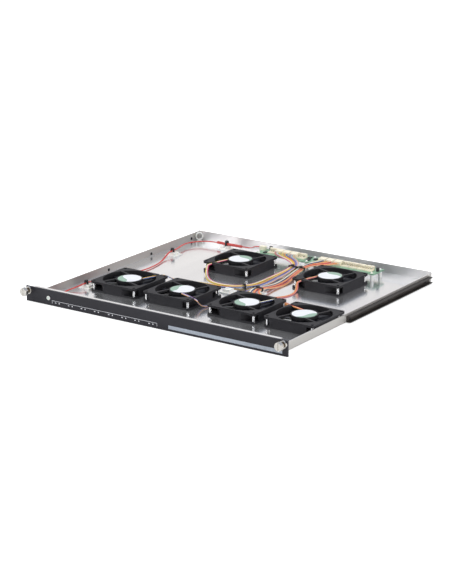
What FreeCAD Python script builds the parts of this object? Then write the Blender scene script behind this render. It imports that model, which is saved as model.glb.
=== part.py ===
import FreeCAD, Part
import math
import os

V = FreeCAD.Vector

# Fan tray for a rack chassis. Sizes are in millimetres.
# X runs to the right seen from the front, Y runs back and Z runs up.
# The origin is the middle of the tray's underside.

# Sheet metal tray
SHEET = 1.2
TRAY_WIDTH = 416.0
TRAY_DEPTH = 389.0
SIDE_WALL = 13.0
REAR_WALL = 14.5
FRONT_HEM = 5.0
FRONT_WALL_INSET = 1.0
BEND = 0.8

# Front panel
PANEL_REACH = 12.25
PANEL_HEIGHT = 21.8
PANEL_THICK = 3.0
PANEL_CHAMFER = 0.6
STUD_X = (-150.0, -55.0, 55.0, 150.0)
STUD_Z = 10.9
STUD_RADIUS = 1.5
STUD_LENGTH = 6.0
NUT_WIDTH = 5.5
NUT_HEIGHT = 2.4

# Fans: a square frame with a flange at each end
FAN_SIZE = 80.0
FAN_THICK = 15.0
FAN_HOLE_INSET = 4.25
FAN_HOLE_RADIUS = 2.15
FAN_CORNER = 4.0
FLANGE = 3.0
DUCT_EDGE = 1.75
DUCT_WALL = 1.6
POCKET_LENGTH = 11.0
BASE_RADIUS = 19.2
BASE_THICK = 2.0
SKIRT_WALL = 1.0
SKIRT_DEPTH = 4.0
STRUT_WIDTH = 3.2
STRUT_HEIGHT = 2.4
STRUT_OFFSET = 10.4
STRUT_ANGLE = 71.0
LEAD_STRUT_THICK = 1.4
LEAD_START_RADIUS = 16.0
LEAD_PAST_RIM = 4.6

# Two rows of fans. The space beside each row's first fan is kept, and the gaps share what the fans leave.
FRONT_ALLEY = 34.8
FRONT_GAPS = (14.0, 30.0, 13.8, 1.0)
REAR_ALLEY = 109.3
REAR_GAPS = (76.5, 67.8)
FRONT_ROW_SETBACK = 79.5
REAR_ROW_GAP = 8.5

# Quarter turns that put each fan's lead where it leaves the frame
FAN_TURNS = (0, -1, 0, 1, 2, 2)

# Rotor, motor and bearing inside each fan
HUB_GAP = 0.6
HUB_BOTTOM = 1.6
HUB_TOP_GAP = 1.1
HUB_FLOOR = 1.5
HUB_CHAMFER = 1.2
MAGNET_WALL = 4.8
BLADES = 7
BLADE_THICK = 1.3
BLADE_CHORD = 19.0
BLADE_PITCH = 27.0
BLADE_CAMBER = 2.4
BLADE_GAP = 0.7
TIP_CLEARANCE = 0.9
SHAFT_RADIUS = 1.5
RUNNING_FIT = 0.05
BEARING_RADIUS = 2.9
BEARING_LENGTH = 6.0
POST_WALL = 1.2
CORE_BOTTOM = 5.4
CORE_THICK = 3.6
POLE_GAP = 0.6
POLE_WIDTH = 2.6
WINDING_WALL = 1.2
MOTOR_BOARD_THICK = 1.0

# Punched air openings in the tray floor under each fan
OPENING_LEDGE = 1.25
OPENING_HUB = 1.3
OPENING_SPOKES = 8
SPOKE_WIDTH = 3.4

# Fan screws, flush with the underside
SCREW_RADIUS = 1.95
SCREW_HEAD_RADIUS = 3.6
SCREW_HEAD_HEIGHT = 0.9
SCREW_INTO_TOP = 0.8

# Slide rails
RAIL_HEIGHT = 8.8
RAIL_REACH = 6.4
RAIL_THICK = 1.2
RAIL_LENGTH = 223.0
RAIL_REAR_GAP = 8.0
RAIL_BOTTOM = 0.9
RAIL_NOSE = 3.0
RIVET_FRONT_INSET = 7.0
RIVET_REAR_INSET = 12.0
RIVET_RADIUS = 1.6
RIVET_HEAD = 2.4
RIVET_HEAD_HEIGHT = 0.9

# Captive thumbscrews
THUMB_INSET = 5.75
THUMB_DROP = 5.6
FERRULE_RIM = 0.8
FERRULE_FRONT = 2.6
FERRULE_WALL = 0.7
FERRULE_LIP = 0.9
POCKET_RADIUS = 3.9
SPRING_GAP = 0.3
SPRING_WIRE = 0.6
WASHER_AT = 7.0
WASHER_THICK = 0.5
KNOB_RADIUS = 6.1
KNOB_LENGTH = 6.0
KNOB_CHAMFER = 0.7
KNOB_SLOT = 1.2
KNOB_SLOT_DEPTH = 1.6
THUMB_SHANK = 2.0
THUMB_REACH = 9.0
CLIP_WIDTH = 1.4
CLIP_THICK = 0.8
SEAT_GAP = 0.3
FIT = 0.05

# Control board
BOARD_DEPTH = 30.0
BOARD_SIDE_GAP = 64.8
BOARD_REAR_GAP = 20.8
BOARD_THICK = 1.6
STANDOFF_HEIGHT = 10.0
STANDOFF_RADIUS = 2.5
STANDOFF_PIN = 1.4
STANDOFF_END_INSET = 5.0
STANDOFF_SIDE_INSET = 3.5
STANDOFF_ASIDE = 4.25

# Fan sockets on the board and the plugs on the fan leads
SOCKET_LENGTH = 12.0
SOCKET_GAP = 1.2
SOCKET_DEPTH = 11.0
SOCKET_STEP = 1.6
SOCKET_HEIGHT = 6.6
SOCKET_BACK = 3.0
SOCKET_SETBACK = 8.0
SOCKETS_FROM_LEFT = 22.9
SOCKETS_FROM_RIGHT = 15.0
SOCKET_GROUP_GAP = 25.1
SOCKET_COUNTS = (5, 7)
PLUG_REST = 0.1
PLUG_LENGTH = 11.0
PLUG_DEPTH = 7.6
PLUG_HEIGHT = 4.6
PIN_WIDTH = 1.1
PIN_REACH = 6.0
PIN_PITCH = 3.96

# Indicator lamp behind the front panel
LAMP_INSET = 27.8
LAMP_Z = 10.4
LAMP_BODY = 2.4
LAMP_BEZEL = 2.9
LAMP_LENS = 1.7
LAMP_LENGTH = 11.5
LAMP_SOCKET_OVERHANG = 3.0
LAMP_SOCKET_SETBACK = 19.5
LAMP_SOCKET_LIFT = 3.6

# Tie mounts, ties, sleeve and the guide ring in the corner
MOUNT_SIZE = 19.0
MOUNT_HEIGHT = 5.0
MOUNT_PLATE = 1.4
MOUNT_RIB = 4.0
MOUNT_SLOT = 1.7
TIE_WIDTH = 2.5
TIE_THICK = 1.1
TIE_ROOM = 0.5
WIRE_PAIR = 2.6
LEAD = 2.8
SLEEVE_WALL = 0.7
SLEEVE_INSET = 0.16
RING_RADIUS = 6.0
RING_WALL = 1.3
RING_WIDTH = 3.0

# The depth of the tray for which the lamp's pair was laid out
LAID_DEPTH = 389.0

# How far in front of its plug a lead has turned into line with it
PLUG_APPROACH = 7.3

# Planes, rows and centres that follow from the sizes
INNER_X = TRAY_WIDTH / 2 - SHEET
PANEL_WIDTH = TRAY_WIDTH + 2 * PANEL_REACH
PANEL_BACK = -TRAY_DEPTH / 2
PANEL_FRONT = PANEL_BACK - PANEL_THICK
REAR_INNER = TRAY_DEPTH / 2 - SHEET
FLOOR_TOP = SHEET
SOCKET_PITCH = SOCKET_LENGTH + SOCKET_GAP
BOARD_X1 = INNER_X - BOARD_SIDE_GAP
RIGHT_SOCKETS = BOARD_X1 - SOCKETS_FROM_RIGHT - (SOCKET_COUNTS[1] - 1) * SOCKET_PITCH
LEFT_SOCKETS = RIGHT_SOCKETS - SOCKET_LENGTH - SOCKET_GROUP_GAP - (SOCKET_COUNTS[0] - 1) * SOCKET_PITCH
BETWEEN_SOCKETS = RIGHT_SOCKETS - (SOCKET_LENGTH + SOCKET_GROUP_GAP) / 2
BOARD_X0 = LEFT_SOCKETS - SOCKETS_FROM_LEFT
BOARD_Y1 = REAR_INNER - BOARD_REAR_GAP
BOARD_Y0 = BOARD_Y1 - BOARD_DEPTH
BOARD_BOTTOM = FLOOR_TOP + STANDOFF_HEIGHT
BOARD_TOP = BOARD_BOTTOM + BOARD_THICK
FRONT_ROW_Y = PANEL_BACK + FRONT_ROW_SETBACK + FAN_SIZE / 2
REAR_ROW_Y = BOARD_Y0 - REAR_ROW_GAP - FAN_SIZE / 2
DUCT_RADIUS = FAN_SIZE / 2 - DUCT_EDGE
DUCT_OUTER = DUCT_RADIUS + DUCT_WALL
OPENING_RADIUS = DUCT_RADIUS - OPENING_LEDGE
OPENING_INNER = BASE_RADIUS + OPENING_HUB
SKIRT_BOTTOM = FAN_THICK - SKIRT_DEPTH
LEAD_STRUT_TOP = SKIRT_BOTTOM + LEAD_STRUT_THICK
HUB_RADIUS = BASE_RADIUS - SKIRT_WALL - HUB_GAP
HUB_TOP = FAN_THICK - BASE_THICK - HUB_TOP_GAP
MAGNET_RADIUS = HUB_RADIUS - MAGNET_WALL
BLADE_TOP = SKIRT_BOTTOM - BLADE_GAP
RAIL_END = TRAY_DEPTH / 2 - RAIL_REAR_GAP
RAIL_START = RAIL_END - RAIL_LENGTH
RIVET_FIRST = RAIL_START + RIVET_FRONT_INSET
RIVET_LAST = RAIL_END - RIVET_REAR_INSET
RAIL_RIVET_Y = (RIVET_FIRST, (RIVET_FIRST + RIVET_LAST) / 2, RIVET_LAST)
THUMB_X = PANEL_WIDTH / 2 - THUMB_INSET
THUMB_Z = PANEL_HEIGHT - THUMB_DROP
FERRULE_BARREL = POCKET_RADIUS + FERRULE_WALL
FERRULE_RADIUS = FERRULE_BARREL + FERRULE_RIM
SPRING_OUTER = POCKET_RADIUS - SPRING_GAP
SPRING_INNER = SPRING_OUTER - SPRING_WIRE
CLIP_RADIUS = THUMB_SHANK + CLIP_WIDTH
SOCKET_Y = BOARD_Y0 + SOCKET_SETBACK
STANDOFF_X = (BOARD_X0 + STANDOFF_END_INSET, BETWEEN_SOCKETS - STANDOFF_ASIDE, BOARD_X1 - STANDOFF_END_INSET)
STANDOFF_Y = (BOARD_Y0 + STANDOFF_SIDE_INSET, BOARD_Y1 - STANDOFF_SIDE_INSET)
PIN_Z = BOARD_TOP + SOCKET_STEP + PLUG_REST + PLUG_HEIGHT / 2
LAMP_X = -INNER_X + LAMP_INSET
LAMP_BACK = PANEL_FRONT + LAMP_LENGTH
LAMP_SOCKET_X = BOARD_X0 - LAMP_SOCKET_OVERHANG
LAMP_SOCKET_Y = BOARD_Y0 + LAMP_SOCKET_SETBACK
LAMP_SOCKET_Z = BOARD_TOP + LAMP_SOCKET_LIFT


def fan_row(y, alley, gaps, turns):
    """Centres and turns of a row: after the alley, fans and gaps share the tray's inner width."""
    free = 2 * INNER_X - alley - len(gaps) * FAN_SIZE
    share = free / sum(gaps)
    row = []
    x = -INNER_X + alley + FAN_SIZE / 2
    for gap, turn in zip(gaps, turns):
        row.append((x, y, turn))
        x += FAN_SIZE + gap * share
    return row


FRONT_ROW = fan_row(FRONT_ROW_Y, FRONT_ALLEY, FRONT_GAPS, FAN_TURNS[:4])
REAR_ROW = fan_row(REAR_ROW_Y, REAR_ALLEY, REAR_GAPS, FAN_TURNS[4:])
FANS = FRONT_ROW + REAR_ROW


def beside_wall(inset, y, z):
    """A point of the lamp's pair: measured from the left wall, and spread over the tray's depth."""
    return -INNER_X + inset, y * TRAY_DEPTH / LAID_DEPTH, z


def by_board(x, y, z):
    """A point of a lead that keeps its distance from the board's front edge."""
    return x, BOARD_Y0 + y, z


# Places of the tie mounts: x, y and whether the bundle over it runs along X
MOUNTS = (
    (-INNER_X + 22.2, -106.0 * TRAY_DEPTH / LAID_DEPTH, False),
    (-INNER_X + 24.3, 96.0 * TRAY_DEPTH / LAID_DEPTH, False),
    (-INNER_X + 70.6, BOARD_Y0 + 24.5, True),
    (35.2, 5.0, False),
    (-4.0, FRONT_ROW_Y + FAN_SIZE / 2 + 22.5, False),
)

# Route of the lamp's pair, from the lamp to the board
LAMP_LEAD = (
    (LAMP_X, LAMP_BACK, LAMP_Z), (LAMP_X, LAMP_BACK + 7.5, LAMP_Z), beside_wall(22.3, -168.0, 6.4),
    beside_wall(13.8, -154.0, 3.2), beside_wall(10.8, -139.0, 3.0), beside_wall(15.3, -126.0, 5.0),
    beside_wall(20.2, -114.0, 8.0), beside_wall(20.2, -98.0, 8.0), beside_wall(17.5, -86.0, 4.6),
    beside_wall(14.3, -72.0, 2.8), beside_wall(14.8, -54.0, 2.8), beside_wall(21.8, -33.0, 2.8),
    beside_wall(33.3, -14.0, 2.8), beside_wall(39.3, 7.0, 2.8), beside_wall(38.0, 34.0, 2.8),
    beside_wall(32.5, 56.0, 2.8), beside_wall(26.0, 74.0, 4.8), beside_wall(22.3, 88.0, 8.0),
    beside_wall(22.3, 104.0, 8.0), beside_wall(17.8, 118.0, 7.2), beside_wall(13.8, 133.0, 7.0),
    beside_wall(13.3, 147.0, 7.0), by_board(-INNER_X + 22.8, 21.5, 7.0), by_board(-INNER_X + 42.8, 27.5, 8.5),
    by_board(LAMP_SOCKET_X - 30.0, 27.5, 8.5), by_board(LAMP_SOCKET_X - 18.0, 24.5, 11.0),
    (LAMP_SOCKET_X - 10.0, LAMP_SOCKET_Y, LAMP_SOCKET_Z), (LAMP_SOCKET_X, LAMP_SOCKET_Y, LAMP_SOCKET_Z),
)

# Each fan lead's first points, as steps from where it passes its fan's rim
LEAD_DROPS = (
    ((2.7, 7.6, 10.4), (9.7, 16.6, 3.8)),
    ((6.2, 3.3, 10.4), (11.2, 14.3, 3.8), (12.7, 35.3, 2.8), (12.2, 61.3, 2.8)),
    ((0.2, 6.7, 10.4), (-9.3, 13.2, 3.8)),
    ((-5.9, 1.2, 10.4), (-4.9, 15.7, 3.8)),
    ((-3.7, -8.2, 10.4), (-0.2, -19.2, 3.8)),
    ((-2.2, -8.2, 10.4), (5.3, -16.7, 3.8)),
)

# What follows on the floor, through the bands and up to the board
LEAD_RUNS = (
    (
        (-79.0, -5.0, 2.8), (-50.0, -3.0, 2.8), (-20.0, -1.0, 2.8), (1.0, 6.0, 4.3), (13.0, 20.0, 4.3),
        (15.0, 46.0, 2.8), by_board(15.0, -67.5, 3.4), by_board(17.0, -47.5, 5.6), by_board(19.6, -32.5, 8.6),
        by_board(19.6, -18.5, 10.6), by_board(11.0, -9.0, 14.2),
    ),
    (
        (20.0, -14.0, 2.8), (21.0, 14.0, 2.8), (20.5, 44.0, 2.8), by_board(21.5, -67.5, 3.4),
        by_board(22.5, -47.5, 5.6), by_board(23.2, -32.5, 8.6), by_board(23.2, -18.5, 10.6),
        by_board(16.0, -7.5, 14.2),
    ),
    (
        (68.0, -18.0, 2.8), (46.0, -19.5, 2.8), (33.0, -14.5, 4.2), (29.6, -3.0, 8.1), (29.6, 13.0, 8.1),
        (29.6, 28.0, 4.2), (31.5, 54.0, 2.8), by_board(31.5, -67.5, 3.4), by_board(30.4, -47.5, 5.6),
        by_board(30.4, -32.5, 8.6), by_board(30.4, -18.5, 10.6), by_board(37.0, -7.5, 14.2),
    ),
    (
        (103.0, -14.0, 2.8), (78.0, -11.0, 2.8), (56.0, -13.5, 2.8), (39.5, -13.5, 4.2), (35.2, -3.0, 8.1),
        (35.2, 13.0, 8.1), (35.9, 28.0, 4.2), (37.5, 54.0, 2.8), by_board(37.5, -67.5, 3.4),
        by_board(34.0, -47.5, 5.6), by_board(34.0, -32.5, 8.6), by_board(34.0, -18.5, 10.6),
        by_board(43.0, -8.5, 14.2),
    ),
    (
        (-68.0, 17.0, 2.8), (-45.0, 8.5, 2.8), (-20.0, 5.0, 2.8), (-3.0, 10.0, 4.3), (7.5, 24.0, 4.3),
        (7.0, 48.0, 2.8), by_board(8.5, -67.5, 3.4), by_board(12.5, -47.5, 5.6), by_board(16.0, -32.5, 8.6),
        by_board(16.0, -18.5, 10.6), by_board(5.0, -10.5, 14.2),
    ),
    (
        (86.0, 17.0, 2.8), (81.0, -1.0, 2.8), (62.0, -6.0, 2.8), (47.5, -8.5, 4.2), (40.8, -3.0, 8.1),
        (40.8, 13.0, 8.1), (42.4, 28.0, 4.2), (44.5, 54.0, 2.8), by_board(44.0, -67.5, 3.4),
        by_board(37.6, -47.5, 5.6), by_board(37.6, -32.5, 8.6), by_board(37.6, -18.5, 10.6),
        by_board(49.0, -10.5, 14.2),
    ),
)

# The socket that each fan lead is plugged into, counted from the left
LEAD_SOCKETS = (2, 3, 5, 6, 1, 7)

# Bands: the middle, the width and height of what they hold, and their turn about Z
SLEEVED_PAIR = WIRE_PAIR + 2 * SLEEVE_WALL + 0.1
TIES = (
    ((4.6, 15.0, 4.3), 9.4, LEAD, -40.0),
    ((35.2, 5.0, 8.1), 14.0, LEAD, 0.0),
    (by_board(19.6, -25.5, 9.6), 10.0, LEAD, 0.0),
    (by_board(34.0, -25.5, 9.6), 10.0, LEAD, 0.0),
    (beside_wall(20.2, -106.0, 8.0), WIRE_PAIR, WIRE_PAIR, 0.0),
    (beside_wall(22.3, 96.0, 8.0), WIRE_PAIR, WIRE_PAIR, 0.0),
    (by_board(-INNER_X + 70.6, 27.5, 8.5), SLEEVED_PAIR, SLEEVED_PAIR, 90.0),
)

os.makedirs("parts", exist_ok=True)


def save(node, *solids):
    """Write one node; several solids become one compound."""
    shape = solids[0] if len(solids) == 1 else Part.makeCompound(list(solids))
    shape.exportStep(f"parts/{node}.step")
    return shape


def box(x0, x1, y0, y1, z0, z1):
    return Part.makeBox(x1 - x0, y1 - y0, z1 - z0, V(x0, y0, z0))


def block(x, y, z0, dx, dy, dz):
    """A box centred on (x, y) that stands on z0."""
    return Part.makeBox(dx, dy, dz, V(x - dx / 2, y - dy / 2, z0))


def disc(radius, z0, z1, x=0.0, y=0.0):
    return Part.makeCylinder(radius, z1 - z0, V(x, y, z0))


def prism(points, z0, z1):
    """A straight prism over a plan outline given as (x, y) points."""
    outline = [V(x, y, z0) for x, y in points]
    face = Part.Face(Part.makePolygon(outline + outline[:1]))
    return face.extrude(V(0, 0, z1 - z0))


def revolve(profile):
    """A turned solid about Z from (radius, height) points."""
    outline = [V(r, 0, h) for r, h in profile]
    face = Part.Face(Part.makePolygon(outline + outline[:1]))
    return face.revolve(V(0, 0, 0), V(0, 0, 1), 360)


def placed(shape, x, y, z, quarter_turns=0):
    """A copy turned about Z by quarter turns, then moved."""
    copy = shape.copy()
    copy.rotate(V(0, 0, 0), V(0, 0, 1), 90 * quarter_turns)
    copy.translate(V(x, y, z))
    return copy


def upright_edges(solid, z0, z1, reach):
    """Vertical edges between two heights whose distance from the axis is over reach."""
    found = []
    for edge in solid.Edges:
        ends = [vertex.Point for vertex in edge.Vertexes]
        if len(ends) != 2:
            continue
        upright = abs(ends[0].x - ends[1].x) < 1e-6 and abs(ends[0].y - ends[1].y) < 1e-6
        inside = min(ends[0].z, ends[1].z) > z0 - 1e-6 and max(ends[0].z, ends[1].z) < z1 + 1e-6
        if upright and inside and math.hypot(ends[0].x, ends[0].y) > reach:
            found.append(edge)
    return found


def tube(points, diameter):
    """A round tube along straight runs joined by tangent arcs, each as large as its runs allow."""
    nodes = [V(*point) for point in points]
    edges = []
    start = nodes[0]
    radii = []
    for before, corner, after in zip(nodes, nodes[1:], nodes[2:]):
        arriving = (corner - before).normalize()
        leaving = (after - corner).normalize()
        turn = arriving.getAngle(leaving)
        setback = 0.45 * min((corner - before).Length, (after - corner).Length)
        radius = setback / math.tan(turn / 2)
        radii.append(radius)
        first = corner - arriving * setback
        last = corner + leaving * setback
        inward = (leaving - arriving).normalize()
        middle = corner + inward * (radius / math.cos(turn / 2) - radius)
        edges.append(Part.LineSegment(start, first).toShape())
        edges.append(Part.Arc(first, middle, last).toShape())
        start = last
    edges.append(Part.LineSegment(start, nodes[-1]).toShape())
    path = Part.Wire(edges)
    section = Part.Wire(Part.makeCircle(diameter / 2, nodes[0], nodes[1] - nodes[0]))
    solid = path.makePipeShell([section], True, False)
    expected = math.pi * diameter ** 2 / 4 * path.Length
    print(f"tube {path.Length:.0f} mm, smallest radius {min(radii):.1f}, volume ratio {solid.Volume / expected:.4f}")
    return solid


def sector_opening(centre_angle):
    """One punched opening between two spokes of the guard, as a cutter."""
    half = 180 / OPENING_SPOKES
    inner_half = half - math.degrees(math.asin(SPOKE_WIDTH / 2 / OPENING_INNER))
    outer_half = half - math.degrees(math.asin(SPOKE_WIDTH / 2 / OPENING_RADIUS))

    def on_circle(radius, angle):
        return V(radius * math.cos(math.radians(angle)), radius * math.sin(math.radians(angle)), -1)

    inner = [on_circle(OPENING_INNER, centre_angle + k * inner_half) for k in (-1, 0, 1)]
    outer = [on_circle(OPENING_RADIUS, centre_angle + k * outer_half) for k in (-1, 0, 1)]
    outline = Part.Wire([
        Part.Arc(*inner).toShape(),
        Part.LineSegment(inner[2], outer[2]).toShape(),
        Part.Arc(*reversed(outer)).toShape(),
        Part.LineSegment(outer[0], inner[0]).toShape(),
    ])
    return Part.Face(outline).extrude(V(0, 0, SHEET + 2))


def screw_corners():
    half = FAN_SIZE / 2 - FAN_HOLE_INSET
    return [(sx * half, sy * half) for sx in (-1, 1) for sy in (-1, 1)]


def fan_screw(room=0.0):
    """A flush screw from below; with room it is the hole that the screw passes through."""
    shank = SCREW_RADIUS + room
    head = SCREW_HEAD_RADIUS + room
    top = FLOOR_TOP + FAN_THICK - FLANGE + SCREW_INTO_TOP
    return revolve([(0, 0), (head, 0), (shank, SCREW_HEAD_HEIGHT), (shank, top), (0, top)])


def make_tray():
    half_x = TRAY_WIDTH / 2
    half_y = TRAY_DEPTH / 2
    front_x = half_x - FRONT_WALL_INSET
    pan = box(-half_x, half_x, -half_y, half_y, 0, SIDE_WALL)
    pan = pan.makeFillet(BEND + SHEET, [
        edge for edge in pan.Edges
        if edge.BoundBox.ZMax < 1e-6 and edge.BoundBox.YLength > TRAY_DEPTH / 2
    ])
    hollow = box(-half_x + SHEET, half_x - SHEET, -half_y - 1, half_y + 1, SHEET, SIDE_WALL + 1)
    hollow = hollow.makeFillet(BEND, [
        edge for edge in hollow.Edges
        if abs(edge.BoundBox.ZMax - SHEET) < 1e-6 and edge.BoundBox.YLength > TRAY_DEPTH / 2
    ])
    tray = pan.cut(hollow)
    front = box(-front_x, front_x, -half_y, -half_y + SHEET, 0, PANEL_HEIGHT)
    hem = box(-front_x, front_x, -half_y, -half_y + FRONT_HEM, PANEL_HEIGHT - SHEET, PANEL_HEIGHT)
    rear = box(-half_x + BEND, half_x - BEND, half_y - SHEET, half_y, 0, REAR_WALL)
    tray = tray.fuse([front, hem, rear]).removeSplitter()
    cutters = []
    for x, y, turns in FANS:
        for k in range(OPENING_SPOKES):
            cutters.append(placed(sector_opening((k + 0.5) * 360 / OPENING_SPOKES), x, y, 0))
        for dx, dy in screw_corners():
            cutters.append(placed(fan_screw(FIT), x + dx, y + dy, 0))
    for x in STANDOFF_X:
        for y in STANDOFF_Y:
            cutters.append(disc(STANDOFF_PIN + FIT, -1, SHEET + 1, x, y))
    for side in (-1, 1):
        for y in RAIL_RIVET_Y:
            cutters.append(rail_rivet(side, y, FIT))
    for x in STUD_X:
        cutters.append(along_y(STUD_RADIUS + 0.1, PANEL_BACK - 1, PANEL_BACK + SHEET + 1, x, STUD_Z))
    cutters.append(along_y(LAMP_BODY + FIT, PANEL_BACK - 1, PANEL_BACK + SHEET + 1, LAMP_X, LAMP_Z))
    return tray.cut(Part.makeCompound(cutters))


def along_y(radius, y0, y1, x, z):
    return Part.makeCylinder(radius, y1 - y0, V(x, y0, z), V(0, 1, 0))


def rail_rivet(side, y, room=0.0):
    """A rivet through rail web and wall, with a head inside the tray and one in the groove."""
    wall_in = TRAY_WIDTH / 2 - SHEET
    web_out = TRAY_WIDTH / 2 + RAIL_THICK
    z = RAIL_BOTTOM + RAIL_HEIGHT / 2
    shank = Part.makeCylinder(RIVET_RADIUS + room, web_out - wall_in + 2 * room, V(wall_in - room, 0, 0), V(1, 0, 0))
    if room:
        rivet = shank
    else:
        inside = Part.makeCylinder(RIVET_HEAD, RIVET_HEAD_HEIGHT, V(wall_in - RIVET_HEAD_HEIGHT, 0, 0), V(1, 0, 0))
        outside = Part.makeCylinder(RIVET_HEAD, RIVET_HEAD_HEIGHT, V(web_out, 0, 0), V(1, 0, 0))
        rivet = shank.fuse([inside, outside])
    if side < 0:
        rivet.rotate(V(0, 0, 0), V(0, 0, 1), 180)
    rivet.translate(V(0, y, z))
    return rivet


def make_rail(side):
    """A channel with its web on the wall and its groove facing outwards."""
    inner = TRAY_WIDTH / 2
    outer = inner + RAIL_REACH
    top = RAIL_BOTTOM + RAIL_HEIGHT
    rail = box(inner, outer, RAIL_START, RAIL_END, RAIL_BOTTOM, top)
    groove = box(inner + RAIL_THICK, outer + 1, RAIL_START - 1, RAIL_END + 1, RAIL_BOTTOM + RAIL_THICK, top - RAIL_THICK)
    rail = rail.cut(groove)
    nose = [
        edge for edge in rail.Edges
        if edge.BoundBox.ZLength > RAIL_THICK / 2 and edge.BoundBox.YMax < RAIL_START + 1e-6
        and edge.BoundBox.XMin > outer - 1e-6
    ]
    rail = rail.makeFillet(RAIL_NOSE, nose)
    for y in RAIL_RIVET_Y:
        hole = Part.makeCylinder(RIVET_RADIUS + FIT, RAIL_THICK + 2, V(inner - 1, y, RAIL_BOTTOM + RAIL_HEIGHT / 2), V(1, 0, 0))
        rail = rail.cut(hole)
    if side < 0:
        rail = rail.mirror(V(0, 0, 0), V(1, 0, 0))
    return rail


def make_panel():
    half = PANEL_WIDTH / 2
    panel = box(-half, half, PANEL_FRONT, PANEL_BACK, 0, PANEL_HEIGHT)
    rim = [edge for edge in panel.Edges if edge.BoundBox.YMax < PANEL_FRONT + 1e-6]
    panel = panel.makeChamfer(PANEL_CHAMFER, rim)
    studs = [along_y(STUD_RADIUS, PANEL_BACK - 1, PANEL_BACK + STUD_LENGTH, x, STUD_Z) for x in STUD_X]
    panel = panel.fuse(studs)
    holes = [
        along_y(FERRULE_BARREL + FIT, PANEL_FRONT - 1, PANEL_BACK + 1, side * THUMB_X, THUMB_Z)
        for side in (-1, 1)
    ]
    holes.append(along_y(LAMP_BODY + FIT, PANEL_FRONT - 1, PANEL_BACK + 1, LAMP_X, LAMP_Z))
    return panel.cut(Part.makeCompound(holes)).removeSplitter()


def make_panel_nut(x):
    corner = NUT_WIDTH / math.sqrt(3)
    outline = [(corner * math.cos(math.radians(60 * k)), corner * math.sin(math.radians(60 * k))) for k in range(6)]
    nut = prism(outline, 0, NUT_HEIGHT).cut(disc(STUD_RADIUS + 0.1, -1, NUT_HEIGHT + 1))
    nut.rotate(V(0, 0, 0), V(1, 0, 0), -90)
    nut.translate(V(x, PANEL_BACK + SHEET, STUD_Z))
    return nut


def strut(length_from, length_to, width, z0, z1):
    """A straight bar beside the axis, STRUT_OFFSET away from it, running at STRUT_ANGLE."""
    bar = box(length_from, length_to, -STRUT_OFFSET - width / 2, -STRUT_OFFSET + width / 2, z0, z1)
    bar.rotate(V(0, 0, 0), V(0, 0, 1), STRUT_ANGLE)
    return bar


def along_strut(radius):
    """How far along a strut's line the given distance from the fan's axis is reached."""
    return math.sqrt(radius ** 2 - STRUT_OFFSET ** 2)


def on_strut(distance):
    """A point on the middle line of the lead's strut, in the fan's own frame."""
    angle = math.radians(STRUT_ANGLE)
    along = V(math.cos(angle), math.sin(angle), 0)
    aside = V(math.sin(angle), -math.cos(angle), 0)
    return aside * STRUT_OFFSET + along * distance


def lead_start(fan):
    """The first two points of a fan's lead: in the channel by the hub, and just past the rim."""
    x, y, turns = fan
    rim = (FAN_SIZE / 2 - on_strut(0).y) / math.sin(math.radians(STRUT_ANGLE))
    points = []
    for distance in (along_strut(LEAD_START_RADIUS) + 0.1, rim + LEAD_PAST_RIM):
        point = on_strut(distance)
        angle = math.radians(90 * turns)
        px = x + point.x * math.cos(angle) - point.y * math.sin(angle)
        py = y + point.x * math.sin(angle) + point.y * math.cos(angle)
        points.append((px, py, FLOOR_TOP + LEAD_STRUT_TOP + LEAD / 2 + 0.1))
    return points


def lead_route(index):
    """All points of one fan's lead: over its rim, down to the floor, through the bands and into its plug."""
    first, rim = lead_start(FANS[index])
    drop = [(rim[0] + dx, rim[1] + dy, z) for dx, dy, z in LEAD_DROPS[index]]
    x = socket_centres()[LEAD_SOCKETS[index]]
    y = plug_front() - FIT
    return [first, rim, *drop, *LEAD_RUNS[index], (x, y - PLUG_APPROACH, PIN_Z), (x, y, PIN_Z)]


def corner_pocket():
    """The open corner between the two flanges, beside a flat side wall."""
    out = FAN_SIZE / 2 + 1
    inside = FAN_SIZE / 2 - DUCT_WALL
    slant = math.sqrt(2) * (DUCT_OUTER + 0.4)
    flat = FAN_SIZE / 2 - POCKET_LENGTH
    outline = [(slant - out, out), (out, out), (out, flat), (inside, flat), (inside, slant - inside)]
    return prism(outline, FLANGE, FAN_THICK - FLANGE)


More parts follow.
